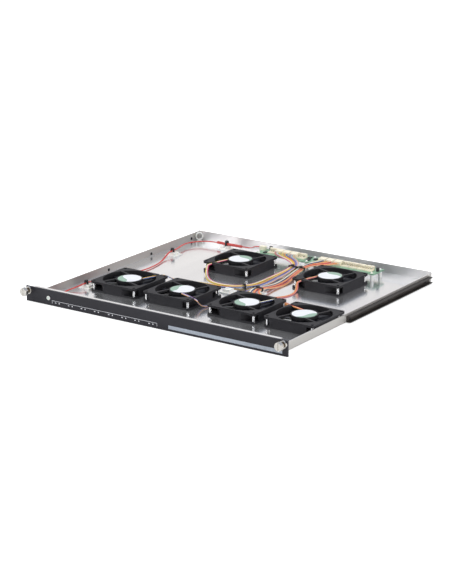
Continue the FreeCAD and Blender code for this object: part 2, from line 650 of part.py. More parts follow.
def make_frame():
    """Square frame, round duct, motor base on four struts, and the post that holds the bearing."""
    half = FAN_SIZE / 2
    body = box(-half, half, -half, half, 0, FAN_THICK)
    body = body.makeFillet(FAN_CORNER, upright_edges(body, 0, FAN_THICK, half))
    body = body.cut(disc(DUCT_RADIUS, -1, FAN_THICK + 1))
    pocket = corner_pocket()
    pockets = [pocket, pocket.mirror(V(0, 0, 0), V(1, 0, 0)), pocket.mirror(V(0, 0, 0), V(0, 1, 0))]
    pockets.append(pockets[1].mirror(V(0, 0, 0), V(0, 1, 0)))
    for cutter in pockets:
        body = body.cut(cutter)
    base_bottom = FAN_THICK - BASE_THICK
    post = BEARING_RADIUS + FIT + POST_WALL
    skirt = BASE_RADIUS - SKIRT_WALL
    motor_base = revolve([
        (0, base_bottom), (skirt, base_bottom), (skirt, SKIRT_BOTTOM), (BASE_RADIUS, SKIRT_BOTTOM),
        (BASE_RADIUS, FAN_THICK), (0, FAN_THICK),
    ])
    motor_base = motor_base.fuse(disc(post, CORE_BOTTOM - 0.6, FAN_THICK))
    reach_in = along_strut(BASE_RADIUS)
    reach_out = along_strut(DUCT_RADIUS + 0.8)
    lead_bar = strut(reach_in - 1, reach_out, STRUT_WIDTH + 0.6, SKIRT_BOTTOM, LEAD_STRUT_TOP)
    lead_bar = lead_bar.cut(disc(BASE_RADIUS - SKIRT_WALL / 2, 0, FAN_THICK))
    bars = []
    for turns in (1, 2, 3):
        bar = strut(reach_in - 1, reach_out, STRUT_WIDTH, FAN_THICK - STRUT_HEIGHT, FAN_THICK)
        bar = bar.cut(disc(BASE_RADIUS - SKIRT_WALL / 2, 0, FAN_THICK - BASE_THICK))
        bars.append(placed(bar, 0, 0, 0, turns))
    frame = body.fuse([motor_base, lead_bar] + bars)
    channel = strut(along_strut(LEAD_START_RADIUS), 2 * half, LEAD + 0.6, LEAD_STRUT_TOP, FAN_THICK + 1)
    frame = frame.cut(channel)
    frame = frame.cut(disc(BEARING_RADIUS + FIT, CORE_BOTTOM - 1, CORE_BOTTOM + BEARING_LENGTH))
    corners = [disc(FAN_HOLE_RADIUS, -1, FAN_THICK + 1, x, y) for x, y in screw_corners()]
    return frame.cut(Part.makeCompound(corners)).removeSplitter()


def make_blade():
    """One cambered blade: an arc section at a pitch, cut to the hub and to the tip circle."""
    half = BLADE_CHORD / 2
    thick = BLADE_THICK / 2
    top = [V(0, -half, 0), V(0, 0, BLADE_CAMBER + thick), V(0, half, 0)]
    low = [V(0, half, 0), V(0, 0, BLADE_CAMBER - thick), V(0, -half, 0)]
    outline = Part.Wire([Part.Arc(*top).toShape(), Part.Arc(*low).toShape()])
    tip = DUCT_RADIUS - TIP_CLEARANCE
    blade = Part.Face(outline).extrude(V(tip + 2, 0, 0))
    blade.rotate(V(0, 0, 0), V(1, 0, 0), BLADE_PITCH)
    blade.translate(V(0, 0, (HUB_BOTTOM + BLADE_TOP) / 2 - BLADE_CAMBER / 2))
    ring = disc(tip, HUB_BOTTOM, BLADE_TOP).cut(disc(HUB_RADIUS - 0.8, HUB_BOTTOM - 1, BLADE_TOP + 1))
    return blade.common(ring)


def make_impeller():
    """Cup that carries the magnet ring inside it, the blades around it, and a hole for the shaft."""
    profile = [
        (SHAFT_RADIUS, HUB_BOTTOM), (HUB_RADIUS - HUB_CHAMFER, HUB_BOTTOM),
        (HUB_RADIUS, HUB_BOTTOM + HUB_CHAMFER), (HUB_RADIUS, HUB_TOP), (MAGNET_RADIUS, HUB_TOP),
        (MAGNET_RADIUS, HUB_BOTTOM + HUB_FLOOR), (SHAFT_RADIUS, HUB_BOTTOM + HUB_FLOOR),
    ]
    blade = make_blade()
    blades = []
    for k in range(BLADES):
        copy = blade.copy()
        copy.rotate(V(0, 0, 0), V(0, 0, 1), k * 360 / BLADES)
        blades.append(copy)
    return revolve(profile).fuse(blades).removeSplitter()


def make_shaft():
    return disc(SHAFT_RADIUS, HUB_BOTTOM + 0.3, CORE_BOTTOM + BEARING_LENGTH - 0.2)


def make_bearing():
    sleeve = disc(BEARING_RADIUS, CORE_BOTTOM - 0.6, CORE_BOTTOM + BEARING_LENGTH - 0.6)
    return sleeve.cut(disc(SHAFT_RADIUS + RUNNING_FIT, 0, FAN_THICK))


def make_stator_core():
    """Four poles around the bearing post, their shoes close to the magnet ring."""
    post = BEARING_RADIUS + FIT + POST_WALL + FIT
    outer = MAGNET_RADIUS - POLE_GAP
    top = CORE_BOTTOM + CORE_THICK
    core = disc(post + 1.5, CORE_BOTTOM, top)
    shoes = disc(outer, CORE_BOTTOM, top).cut(disc(outer - 1.4, CORE_BOTTOM - 1, top + 1))
    slots = [block(0, 0, CORE_BOTTOM - 1, 3 * outer, 4.0, CORE_THICK + 2) for k in range(2)]
    slots[0].rotate(V(0, 0, 0), V(0, 0, 1), 45)
    slots[1].rotate(V(0, 0, 0), V(0, 0, 1), -45)
    shoes = shoes.cut(slots)
    arms = [block(0, 0, CORE_BOTTOM, 2 * (outer - 0.7), POLE_WIDTH, CORE_THICK)]
    arms.append(block(0, 0, CORE_BOTTOM, POLE_WIDTH, 2 * (outer - 0.7), CORE_THICK))
    return core.fuse(arms + [shoes]).cut(disc(post, 0, FAN_THICK)).removeSplitter()


def make_windings():
    """A coil of wire on each pole."""
    post = BEARING_RADIUS + POST_WALL + 2 * FIT + 1.5
    outer = MAGNET_RADIUS - POLE_GAP - 1.4
    length = outer - post - 1.4
    coil = block((post + outer) / 2, 0, CORE_BOTTOM - WINDING_WALL, length, POLE_WIDTH + 2 * WINDING_WALL,
                 CORE_THICK + 2 * WINDING_WALL)
    hole = block((post + outer) / 2, 0, CORE_BOTTOM - FIT, length + 2, POLE_WIDTH + 2 * FIT, CORE_THICK + 2 * FIT)
    coil = coil.cut(hole)
    return [placed(coil, 0, 0, 0, k) for k in range(4)]


def make_motor_board():
    """Round board that sits under the motor base, around the bearing post."""
    post = BEARING_RADIUS + FIT + POST_WALL + FIT
    top = FAN_THICK - BASE_THICK
    board = disc(MAGNET_RADIUS - 1.0, top - MOTOR_BOARD_THICK, top)
    return board.cut(disc(post, 0, FAN_THICK))


def facing_forward(shape, side):
    """Turn a thumbscrew piece that was made about Z so that it points forward, out of the panel."""
    shape.rotate(V(0, 0, 0), V(1, 0, 0), 90)
    shape.translate(V(side * THUMB_X, PANEL_FRONT, THUMB_Z))
    return shape


def make_ferrule(side):
    """Collar pressed into the panel, with a pocket for the spring and a lip behind the panel."""
    back = -PANEL_THICK - FERRULE_LIP
    floor = -PANEL_THICK + 0.6
    bore = THUMB_SHANK + SEAT_GAP
    profile = [
        (bore, back), (FERRULE_BARREL + 0.6, back), (FERRULE_BARREL + 0.6, -PANEL_THICK),
        (FERRULE_BARREL, -PANEL_THICK), (FERRULE_BARREL, 0), (FERRULE_RADIUS, 0),
        (FERRULE_RADIUS, FERRULE_FRONT - 0.5), (FERRULE_RADIUS - 0.5, FERRULE_FRONT),
        (POCKET_RADIUS, FERRULE_FRONT), (POCKET_RADIUS, floor), (bore, floor),
    ]
    return facing_forward(revolve(profile), side)


def make_spring(side):
    """The space that the coil spring fills, from the collar's pocket to the washer."""
    low = -PANEL_THICK + 0.6
    profile = [(SPRING_INNER, low), (SPRING_OUTER, low), (SPRING_OUTER, WASHER_AT - FIT), (SPRING_INNER, WASHER_AT - FIT)]
    return facing_forward(revolve(profile), side)


def make_washer(side):
    inner = THUMB_SHANK + FIT
    outer = SPRING_OUTER + 0.7
    top = WASHER_AT + WASHER_THICK
    return facing_forward(revolve([(inner, WASHER_AT), (outer, WASHER_AT), (outer, top), (inner, top)]), side)


def clip_span():
    """Where the retaining clip sits on the shank, behind the collar's lip."""
    front = -PANEL_THICK - FERRULE_LIP - SEAT_GAP
    return front - CLIP_THICK, front


def make_thumbscrew(side):
    """Knob with a waist and a screwdriver slot, on a shank with a groove for the clip."""
    back, front = clip_span()
    knob = WASHER_AT + WASHER_THICK + FIT
    top = knob + KNOB_LENGTH
    groove = THUMB_SHANK - 0.35
    waist = KNOB_RADIUS - 0.5
    profile = [
        (0, -THUMB_REACH), (THUMB_SHANK - 0.4, -THUMB_REACH), (THUMB_SHANK, -THUMB_REACH + 0.4),
        (THUMB_SHANK, back - FIT), (groove, back - FIT), (groove, front + FIT), (THUMB_SHANK, front + FIT),
        (THUMB_SHANK, knob), (waist - 0.8, knob), (waist - 0.8, knob + 0.8), (KNOB_RADIUS, knob + 1.2),
        (KNOB_RADIUS, top - KNOB_CHAMFER), (KNOB_RADIUS - KNOB_CHAMFER, top), (0, top),
    ]
    slot = block(0, 0, top - KNOB_SLOT_DEPTH, 3 * KNOB_RADIUS, KNOB_SLOT, KNOB_SLOT_DEPTH + 1)
    return facing_forward(revolve(profile).cut(slot), side)


def make_clip(side):
    """Open retaining ring in the shank's groove."""
    back, front = clip_span()
    bore = THUMB_SHANK - 0.35 + FIT
    ring = revolve([(bore, back), (CLIP_RADIUS, back), (CLIP_RADIUS, front), (bore, front)])
    mouth = box(0, CLIP_RADIUS + 1, -bore, bore, back - 1, front + 1)
    return facing_forward(ring.cut(mouth), side)


def make_board():
    board = box(BOARD_X0, BOARD_X1, BOARD_Y0, BOARD_Y1, BOARD_BOTTOM, BOARD_TOP)
    holes = [disc(STANDOFF_PIN + FIT, BOARD_BOTTOM - 1, BOARD_TOP + 1, x, y) for x in STANDOFF_X for y in STANDOFF_Y]
    return board.cut(Part.makeCompound(holes))


def make_standoff(x, y):
    """Nylon post with a pin through the floor and a barbed pin through the board."""
    tip = BOARD_TOP + 2.0
    profile = [
        (0, 0.2), (STANDOFF_PIN, 0.2), (STANDOFF_PIN, FLOOR_TOP), (STANDOFF_RADIUS, FLOOR_TOP),
        (STANDOFF_RADIUS, BOARD_BOTTOM), (STANDOFF_PIN, BOARD_BOTTOM), (STANDOFF_PIN, BOARD_TOP + FIT),
        (STANDOFF_PIN + 0.6, BOARD_TOP + FIT), (STANDOFF_PIN - 0.5, tip), (0, tip),
    ]
    return placed(revolve(profile), x, y, 0)


def socket_centres():
    groups = zip((LEFT_SOCKETS, RIGHT_SOCKETS), SOCKET_COUNTS)
    return [start + k * SOCKET_PITCH for start, count in groups for k in range(count)]


def pin_offsets():
    return [k * PIN_PITCH for k in (-1, 0, 1)]


def plug_front():
    """Front face of a plug whose other end just clears the latching edge."""
    return SOCKET_Y + SOCKET_DEPTH - SOCKET_BACK - 0.6 - PLUG_DEPTH


def make_socket(x):
    """Header body: a low step that the plug rests on and a tall back with a latching edge."""
    back = SOCKET_Y + SOCKET_DEPTH
    wall = back - SOCKET_BACK
    top = BOARD_TOP + SOCKET_HEIGHT
    profile = [
        V(0, SOCKET_Y, BOARD_TOP), V(0, SOCKET_Y, BOARD_TOP + SOCKET_STEP), V(0, wall, BOARD_TOP + SOCKET_STEP),
        V(0, wall, top - 1.0), V(0, wall - 0.5, top - 0.6), V(0, wall, top), V(0, back - 0.6, top),
        V(0, back, top - 0.8), V(0, back, BOARD_TOP),
    ]
    face = Part.Face(Part.makePolygon(profile + profile[:1]))
    body = face.extrude(V(SOCKET_LENGTH, 0, 0))
    body.translate(V(x - SOCKET_LENGTH / 2, 0, 0))
    width = PIN_WIDTH + 2 * FIT
    holes = [
        box(x + d - width / 2, x + d + width / 2, wall - 1, back + 1, PIN_Z - width / 2, PIN_Z + width / 2)
        for d in pin_offsets()
    ]
    return body.cut(Part.makeCompound(holes))


def make_pins(x):
    """Contacts from the socket's back towards the front, one below the other's line."""
    back = SOCKET_Y + SOCKET_DEPTH
    wall = back - SOCKET_BACK
    half = PIN_WIDTH / 2
    z = PIN_Z
    return [box(x + d - half, x + d + half, wall - PIN_REACH, back - 0.4, z - half, z + half) for d in pin_offsets()]


def make_plug(x):
    """Plug housing on the step, with a cavity for each contact."""
    wall = SOCKET_Y + SOCKET_DEPTH - SOCKET_BACK
    front = plug_front()
    half = PLUG_LENGTH / 2
    z = PIN_Z
    body = box(x - half, x + half, front, front + PLUG_DEPTH, z - PLUG_HEIGHT / 2, z + PLUG_HEIGHT / 2)
    width = PIN_WIDTH + 0.3
    cavities = [
        box(x + d - width / 2, x + d + width / 2, wall - PIN_REACH - 0.3, wall + 1, z - width / 2, z + width / 2)
        for d in pin_offsets()
    ]
    return body.cut(Part.makeCompound(cavities))


def make_lamp_socket():
    """Small two-way connector for the lamp's pair, at the left end of the board."""
    x = LAMP_SOCKET_X
    y = LAMP_SOCKET_Y
    return box(x, x + 9.0, y - 3.4, y + 3.4, BOARD_TOP, LAMP_SOCKET_Z + 2.2)


def make_power_socket():
    """Low power inlet at the back edge of the board, behind the fan sockets."""
    x = BOARD_X1 - 30.0
    shell = box(x - 9, x + 9, BOARD_Y1 - 8.5, BOARD_Y1 + 1.0, BOARD_TOP, BOARD_TOP + 3.0)
    mouth = box(x - 8, x + 8, BOARD_Y1 - 5.5, BOARD_Y1 + 2.0, BOARD_TOP + 0.6, BOARD_TOP + 2.4)
    return shell.cut(mouth)


def make_chips():
    """Fan drivers between the two groups of sockets and one controller."""
    middle = BETWEEN_SOCKETS
    spots = [(middle - 5.25, BOARD_Y0 + 9.5), (middle + 2.75, BOARD_Y0 + 17.5), (middle - 9.25, BOARD_Y0 + 20.5)]
    chips = [block(x, y, BOARD_TOP, 5.0, 6.0, 1.7) for x, y in spots]
    chips.append(block(BOARD_X0 + 13.5, BOARD_Y0 + 8.0, BOARD_TOP, 4.5, 7.0, 1.4))
    return chips


def make_capacitors():
    spots = [(BOARD_X0 + 12.0, BOARD_Y1 - 4.5), (BOARD_X1 - 3.0, BOARD_Y0 + 16.5)]
    return [disc(2.5, BOARD_TOP, BOARD_TOP + 5.4, x, y) for x, y in spots]


def make_lamp_holder():
    """White bezel in front of the panel on a body that carries the lamp."""
    flange = along_y(LAMP_BEZEL, PANEL_FRONT - 0.7, PANEL_FRONT, LAMP_X, LAMP_Z)
    body = along_y(LAMP_BODY, PANEL_FRONT, LAMP_BACK, LAMP_X, LAMP_Z)
    seat = along_y(LAMP_LENS + FIT, PANEL_FRONT - 1, LAMP_BACK - 2.5, LAMP_X, LAMP_Z)
    return flange.fuse(body).cut(seat)


def make_lamp_lens():
    return along_y(LAMP_LENS, PANEL_FRONT - 1.2, LAMP_BACK - 2.5, LAMP_X, LAMP_Z)


def make_tie_mount(x, y, across):
    """Adhesive base: a square plate with rounded corners, and a raised saddle with a slot for the tie."""
    plate = block(0, 0, FLOOR_TOP, MOUNT_SIZE, MOUNT_SIZE, MOUNT_PLATE)
    plate = plate.makeFillet(1.5, upright_edges(plate, FLOOR_TOP, FLOOR_TOP + MOUNT_PLATE, MOUNT_SIZE / 2))
    slot = TIE_WIDTH + 0.2
    saddle = block(0, 0, FLOOR_TOP, MOUNT_SIZE * 2 / 3, slot + 2 * MOUNT_RIB, MOUNT_HEIGHT)
    groove = block(0, 0, FLOOR_TOP + MOUNT_HEIGHT - MOUNT_SLOT, MOUNT_SIZE, slot, MOUNT_SLOT + 1)
    return placed(plate.fuse(saddle.cut(groove)), x, y, 0, 1 if across else 0)


def make_tie(middle, width, height, turn=0.0):
    """A band around a bundle that is width by height, with the head on top."""
    room = TIE_ROOM
    inner_w = width + 2 * room
    inner_h = height + 2 * room
    outer_w = inner_w + 2 * TIE_THICK
    outer_h = inner_h + 2 * TIE_THICK
    band = box(-outer_w / 2, outer_w / 2, -TIE_WIDTH / 2, TIE_WIDTH / 2, -outer_h / 2, outer_h / 2)
    band = band.makeFillet(1.0, [edge for edge in band.Edges if edge.BoundBox.YLength > TIE_WIDTH / 2])
    window = box(-inner_w / 2, inner_w / 2, -TIE_WIDTH, TIE_WIDTH, -inner_h / 2, inner_h / 2)
    head = box(-2.0, 2.0, -TIE_WIDTH / 2 - 0.6, TIE_WIDTH / 2 + 0.6, outer_h / 2 - TIE_THICK, outer_h / 2 + 1.6)
    tie = band.fuse(head).cut(window)
    tie.rotate(V(0, 0, 0), V(0, 0, 1), turn)
    tie.translate(V(*middle))
    return tie


def make_sleeve():
    """Shrink sleeve over the long straight stretch of the lamp's pair, along the rear wall."""
    pairs = list(zip(LAMP_LEAD, LAMP_LEAD[1:]))
    start, end = max(pairs, key=lambda pair: (V(*pair[1]) - V(*pair[0])).Length)
    along = V(*end) - V(*start)
    first = V(*start) + along * SLEEVE_INSET
    length = along.Length * (1 - 2 * SLEEVE_INSET)
    inner = WIRE_PAIR / 2 + FIT
    outer = inner + SLEEVE_WALL
    return Part.makeCylinder(outer, length, first, along).cut(Part.makeCylinder(inner, length, first, along))


def make_corner_ring():
    """White guide ring that stands in the rear left corner and faces the middle of the tray."""
    ring = revolve([
        (RING_RADIUS - RING_WALL, -RING_WIDTH / 2), (RING_RADIUS, -RING_WIDTH / 2),
        (RING_RADIUS, RING_WIDTH / 2), (RING_RADIUS - RING_WALL, RING_WIDTH / 2),
    ])
    ring.rotate(V(0, 0, 0), V(1, 0, 0), 90)
    ring.rotate(V(0, 0, 0), V(0, 0, 1), 45)
    reach = (RING_RADIUS + RING_WIDTH / 2) / math.sqrt(2) + 0.1
    ring.translate(V(-TRAY_WIDTH / 2 + SHEET + reach, REAR_INNER - reach, FLOOR_TOP + RING_RADIUS + 0.05))
    return ring


save("tray", make_tray())
save("front_panel", make_panel())
save("panel_nuts", *[make_panel_nut(x) for x in STUD_X])

fan_frame = make_frame()
impeller = make_impeller()
shaft = make_shaft()
bearings = []
cores = []
windings = []
motor_boards = []
screws = []
for number, (x, y, turns) in enumerate(FANS, 1):
    save(f"fan_{number}_frame", placed(fan_frame, x, y, FLOOR_TOP, turns))
    save(f"fan_{number}_impeller", placed(impeller, x, y, FLOOR_TOP, turns))
    save(f"fan_{number}_shaft", placed(shaft, x, y, FLOOR_TOP))
    bearings.append(placed(make_bearing(), x, y, FLOOR_TOP))
    cores.append(placed(make_stator_core(), x, y, FLOOR_TOP))
    windings.extend(placed(coil, x, y, FLOOR_TOP) for coil in make_windings())
    motor_boards.append(placed(make_motor_board(), x, y, FLOOR_TOP))
    screws.extend(placed(fan_screw(), x + dx, y + dy, 0) for dx, dy in screw_corners())
save("fan_bearings", *bearings)
save("stator_cores", *cores)
save("stator_windings", *windings)
save("motor_boards", *motor_boards)
save("fan_screws", *screws)

for name, side in (("left", -1), ("right", 1)):
    save(f"slide_rail_{name}", make_rail(side))
    save(f"thumbscrew_{name}", make_thumbscrew(side))
    save(f"thumbscrew_{name}_collar", make_ferrule(side))
    save(f"thumbscrew_{name}_spring", make_spring(side))
    save(f"thumbscrew_{name}_washer", make_washer(side))
    save(f"thumbscrew_{name}_clip", make_clip(side))
save("rail_rivets", *[rail_rivet(side, y) for side in (-1, 1) for y in RAIL_RIVET_Y])

save("control_board", make_board())
save("board_standoffs", *[make_standoff(x, y) for x in STANDOFF_X for y in STANDOFF_Y])
save("fan_sockets", *[make_socket(x) for x in socket_centres()])
save("socket_pins", *[pin for x in socket_centres() for pin in make_pins(x)])
save("fan_plugs", *[make_plug(socket_centres()[k]) for k in LEAD_SOCKETS])
save("lamp_socket", make_lamp_socket())
save("power_socket", make_power_socket())
save("board_components", *make_chips(), *make_capacitors())

save("lamp_holder", make_lamp_holder())
save("lamp_lens", make_lamp_lens())
save("lamp_lead", tube(LAMP_LEAD, WIRE_PAIR))
for number in range(1, len(FANS) + 1):
    save(f"fan_{number}_lead", tube(lead_route(number - 1), LEAD))
save("lead_sleeve", make_sleeve())
save("tie_mounts", *[make_tie_mount(*mount) for mount in MOUNTS])
save("cable_ties", *[make_tie(*tie) for tie in TIES])
save("corner_ring", make_corner_ring())
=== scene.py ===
# %% [markdown]
# A fan tray slides into a rack chassis and blows air up through it. It is a shallow folded
# tray with six flat fans, a board that feeds them, loose coloured leads, and a black front
# panel with a spring-loaded thumbscrew at each end. The CAD model gives the rigid forms. This
# script adds what CAD leaves out: finishes, threads, knurls, coils, labels and loose wires.

# %% Load the frame
import math

import bmesh
import bpy
import numpy as np
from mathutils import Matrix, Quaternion, Vector


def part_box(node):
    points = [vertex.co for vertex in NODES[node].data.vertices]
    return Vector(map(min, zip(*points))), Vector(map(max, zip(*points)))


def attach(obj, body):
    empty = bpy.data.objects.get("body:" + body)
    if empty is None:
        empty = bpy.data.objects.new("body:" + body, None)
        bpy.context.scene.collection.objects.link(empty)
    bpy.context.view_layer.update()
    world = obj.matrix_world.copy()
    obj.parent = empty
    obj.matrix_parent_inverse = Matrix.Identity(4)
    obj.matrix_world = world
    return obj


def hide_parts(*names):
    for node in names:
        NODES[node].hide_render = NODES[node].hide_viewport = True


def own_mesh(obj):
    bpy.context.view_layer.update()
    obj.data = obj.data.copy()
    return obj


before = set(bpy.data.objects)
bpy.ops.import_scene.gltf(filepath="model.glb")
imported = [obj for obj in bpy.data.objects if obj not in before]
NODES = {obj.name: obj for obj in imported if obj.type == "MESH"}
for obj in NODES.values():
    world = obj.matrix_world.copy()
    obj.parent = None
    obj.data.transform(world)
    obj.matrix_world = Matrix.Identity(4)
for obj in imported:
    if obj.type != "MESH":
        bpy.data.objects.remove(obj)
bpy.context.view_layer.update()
MM = 0.001

# %% [markdown]
# The camera stands to the right of the front panel and a little above it, far away with a
# long lens, so parallel edges stay nearly parallel. Its place was worked out from the
# photograph: six fans of a standard size give both the direction and the distance.

# %% Camera
CAMERA_AT = Vector((1.4942, -2.1055, 0.7962))
LOOKS_AT = Vector((-0.00685, -0.01386, 0.0012))
ROLL = -0.011

camera_data = bpy.data.cameras.new("camera")
camera_data.sensor_width = 36.0
camera_data.lens = 117.2
camera = bpy.data.objects.new("camera", camera_data)
bpy.context.scene.collection.objects.link(camera)
camera.rotation_mode = "QUATERNION"
camera.location = CAMERA_AT
aim = (LOOKS_AT - CAMERA_AT).to_track_quat("-Z", "Y")
camera.rotation_quaternion = aim @ Quaternion((0, 0, 1), ROLL)
camera_data.clip_start = 0.05
camera_data.clip_end = 50
bpy.context.scene.camera = camera
print("camera distance in m:", round((CAMERA_AT - LOOKS_AT).length, 3))

# %% [markdown]
# Most new pieces are surfaces over two parameters. A grid of points, worked out as one numpy
# array, becomes a mesh whose faces join neighbouring points. A turned piece runs a profile of
# radius against height round an axis, and its radius may also change with the angle.

# %% Grid helpers
def add_mesh(name, vertices, faces, smooth=True):
    """A mesh object from arrays, with doubles at poles and seams merged and its faces pointing out."""
    mesh = bpy.data.meshes.new(name)
    mesh.from_pydata(np.asarray(vertices, float).reshape(-1, 3).tolist(), [], np.asarray(faces).tolist())
    shell = bmesh.new()
    shell.from_mesh(mesh)
    bmesh.ops.remove_doubles(shell, verts=shell.verts, dist=1e-7)
    bmesh.ops.recalc_face_normals(shell, faces=shell.faces)
    shell.to_mesh(mesh)
    shell.free()
    mesh.polygons.foreach_set("use_smooth", np.full(len(mesh.polygons), smooth))
    piece = bpy.data.objects.new(name, mesh)
    bpy.context.scene.collection.objects.link(piece)
    return piece


def grid_faces(rows, columns, wrap=False):
    """Quads between neighbours of a grid of row-major points; wrap joins the last column to the first."""
    index = np.arange(rows * columns).reshape(rows, columns)
    if wrap:
        index = np.hstack([index, index[:, :1]])
    corners = [index[:-1, :-1], index[:-1, 1:], index[1:, 1:], index[1:, :-1]]
    return np.stack(corners, axis=-1).reshape(-1, 4)


def turned(profile, sides, ripple=None):
    """Points of a turned surface about Z: (rows, sides, 3), radius and height from the profile.

    ripple(angle, height) is added to the radius where the profile isn't on the axis.
    """
    profile = np.asarray(profile, float)
    angle = np.linspace(0, 2 * np.pi, sides, endpoint=False)[None, :]
    radius, height = profile[:, :1], profile[:, 1:]
    if ripple is not None:
        radius = radius + np.where(radius > 1e-9, ripple(angle, height), 0)
    radius, height = np.broadcast_arrays(radius, height + 0 * angle)
    return np.stack([radius * np.cos(angle), radius * np.sin(angle), height], axis=-1)


def fine_profile(corners, step):
    """The profile's corners with more points between them, so that every run is at most one step long."""
    corners = np.asarray(corners, float)
    lengths = np.hypot(*np.diff(corners, axis=0).T)
    counts = np.maximum(1, np.ceil(lengths / step)).astype(int)
    spans = [np.linspace(a, b, n, endpoint=False) for a, b, n in zip(corners, corners[1:], counts)]
    return np.vstack([*spans, corners[-1:]])


def finished(piece, body, slot, material, *replaced):
    """Every piece ends here: it rides on its body and takes its material; the slot argument is not used."""
    piece.data.materials.clear()
    piece.data.materials.append(material)
    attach(piece, body)
    if replaced:
        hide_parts(*replaced)
    return piece


# %% [markdown]
# Each finish is one node material. A slow noise shifts the colour a little, a finer one
# breaks up the gloss, and a bump gives the grain. The sizes are real: moulded plastic has
# a grain of a fraction of a millimetre, and brushed sheet has long, fine lines.

# %% Node helpers
def maths(tree, operation, *values):
    """Output of a Math node whose inputs are numbers or other nodes' outputs."""
    node = tree.nodes.new("ShaderNodeMath")
    node.operation = operation
    for socket, value in zip(node.inputs, values):
        if isinstance(value, (int, float)):
            socket.default_value = value
        else:
            tree.links.new(value, socket)
    return node.outputs[0]


def between(tree, share, low, high):
    """Output of a Map Range node: low + share (high - low), with share held between 0 and 1."""
    node = tree.nodes.new("ShaderNodeMapRange")
    node.inputs["To Min"].default_value = low
    node.inputs["To Max"].default_value = high
    tree.links.new(share, node.inputs["Value"])
    return node.outputs["Result"]


def parts_of(tree, vector):
    """Outputs X, Y and Z of a vector."""
    node = tree.nodes.new("ShaderNodeSeparateXYZ")
    tree.links.new(vector, node.inputs["Vector"])
    return node.outputs


def toned(material, share, colour, blend):
    """Blends a colour over the finish's own, by share."""
    tree = material.node_tree
    own = next(node for node in tree.nodes if node.type == "VALTORGB")
    tone = tree.nodes.new("ShaderNodeMix")
    tone.data_type = "RGBA"
    tone.blend_type = blend
    tone.inputs["B"].default_value = (*colour, 1)
    tree.links.new(share, tone.inputs["Factor"])
    tree.links.new(own.outputs["Color"], tone.inputs["A"])
    tree.links.new(tone.outputs["Result"], tree.nodes["Principled BSDF"].inputs["Base Color"])


# %% Finish helper
def finish(name, colour, roughness, metallic=0.0, spread=0.06, grain=0.0006, bump=0.05, stretch=(1, 1, 1), coat=0.0,
           blotch=0.03, second=None, specular=0.5):
    """A procedural finish: the colour drifts by spread over blotch metres, and grain metres set the bump."""
    material = bpy.data.materials.new(name)
    material.use_nodes = True
    tree = material.node_tree
    shader = tree.nodes["Principled BSDF"]
    shader.inputs["Metallic"].default_value = metallic
    shader.inputs["Specular IOR Level"].default_value = specular
    shader.inputs["Coat Weight"].default_value = coat
    shader.inputs["Coat Roughness"].default_value = 0.15
    place = tree.nodes.new("ShaderNodeTexCoord")
    mapping = tree.nodes.new("ShaderNodeMapping")
    mapping.inputs["Scale"].default_value = stretch
    tree.links.new(place.outputs["Object"], mapping.inputs["Vector"])
    drift = tree.nodes.new("ShaderNodeTexNoise")
    drift.inputs["Scale"].default_value = 1 / blotch
    drift.inputs["Detail"].default_value = 3
    tree.links.new(mapping.outputs["Vector"], drift.inputs["Vector"])
    ramp = tree.nodes.new("ShaderNodeValToRGB")
    base = np.array(colour, float)
    other = np.array(second, float) if second is not None else base * (1 - 2 * spread)
    ramp.color_ramp.elements[0].position = 0.3
    ramp.color_ramp.elements[1].position = 0.7
    ramp.color_ramp.elements[0].color = (*np.clip(other, 0, 1), 1)
    ramp.color_ramp.elements[1].color = (*np.clip(base * (1 + spread), 0, 1), 1)
    tree.links.new(drift.outputs["Fac"], ramp.inputs["Fac"])
    tree.links.new(ramp.outputs["Color"], shader.inputs["Base Color"])
    fine = tree.nodes.new("ShaderNodeTexNoise")
    fine.inputs["Scale"].default_value = 1 / grain
    fine.inputs["Detail"].default_value = 2
    tree.links.new(mapping.outputs["Vector"], fine.inputs["Vector"])
    gloss = between(tree, fine.outputs["Fac"], max(0.02, roughness * 0.85), min(1.0, roughness * 1.15))
    tree.links.new(gloss, shader.inputs["Roughness"])
    if bump:
        relief = tree.nodes.new("ShaderNodeBump")
        relief.inputs["Strength"].default_value = bump
        relief.inputs["Distance"].default_value = grain
        tree.links.new(fine.outputs["Fac"], relief.inputs["Height"])
        tree.links.new(relief.outputs["Normal"], shader.inputs["Normal"])
    return material


def dress(node, material):
    """Gives a CAD node its finish."""
    mesh = NODES[node].data
    mesh.materials.clear()
    mesh.materials.append(material)


# %% [markdown]
# The tray is folded from plated sheet steel. It is smooth enough to mirror the fans that
# stand on it, but softly, because the rolled surface carries fine lines and a cloudy sheen.
# The upright walls are duller than the floor, and a painted shade darkens their colour, most of all on walls that face
# X.

# %% Sheet metal
PLATED_SHEET = finish("plated_sheet", (0.88, 0.88, 0.89), 0.22, metallic=0.88, spread=0.03, grain=0.0012, bump=0.003,
                      stretch=(1, 0.05, 1), blotch=0.06)
# Share of the painted shade that walls facing along Y take
PAINTED_SHADE_ALONG_Y = 0.4
# Colour of the painted shade that the colour of upright walls is multiplied by
PAINTED_WALL_SHADE = (0.62, 0.60, 0.565)


def dull_walls_with_painted_shade(material, flat, upright):
    """Dulls upright faces of a finish.

    Roughness and metallic go from upright to flat by |N.z|. The colour is multiplied by a painted shade, by
    |N.x| plus the share along Y times |N.y|.
    """
    tree = material.node_tree
    shader = tree.nodes["Principled BSDF"]
    facing = tree.nodes.new("ShaderNodeNewGeometry")
    x, y, z = (maths(tree, "ABSOLUTE", part) for part in parts_of(tree, facing.outputs["Normal"]))
    for socket, on_level, on_wall in zip(("Roughness", "Metallic"), flat, upright):
        tree.links.new(between(tree, z, on_wall, on_level), shader.inputs[socket])
    # Painted shade: the colour of upright walls is multiplied by the shade colour, by the way they face
    toned(material, maths(tree, "MULTIPLY_ADD", y, PAINTED_SHADE_ALONG_Y, x), PAINTED_WALL_SHADE, "MULTIPLY")


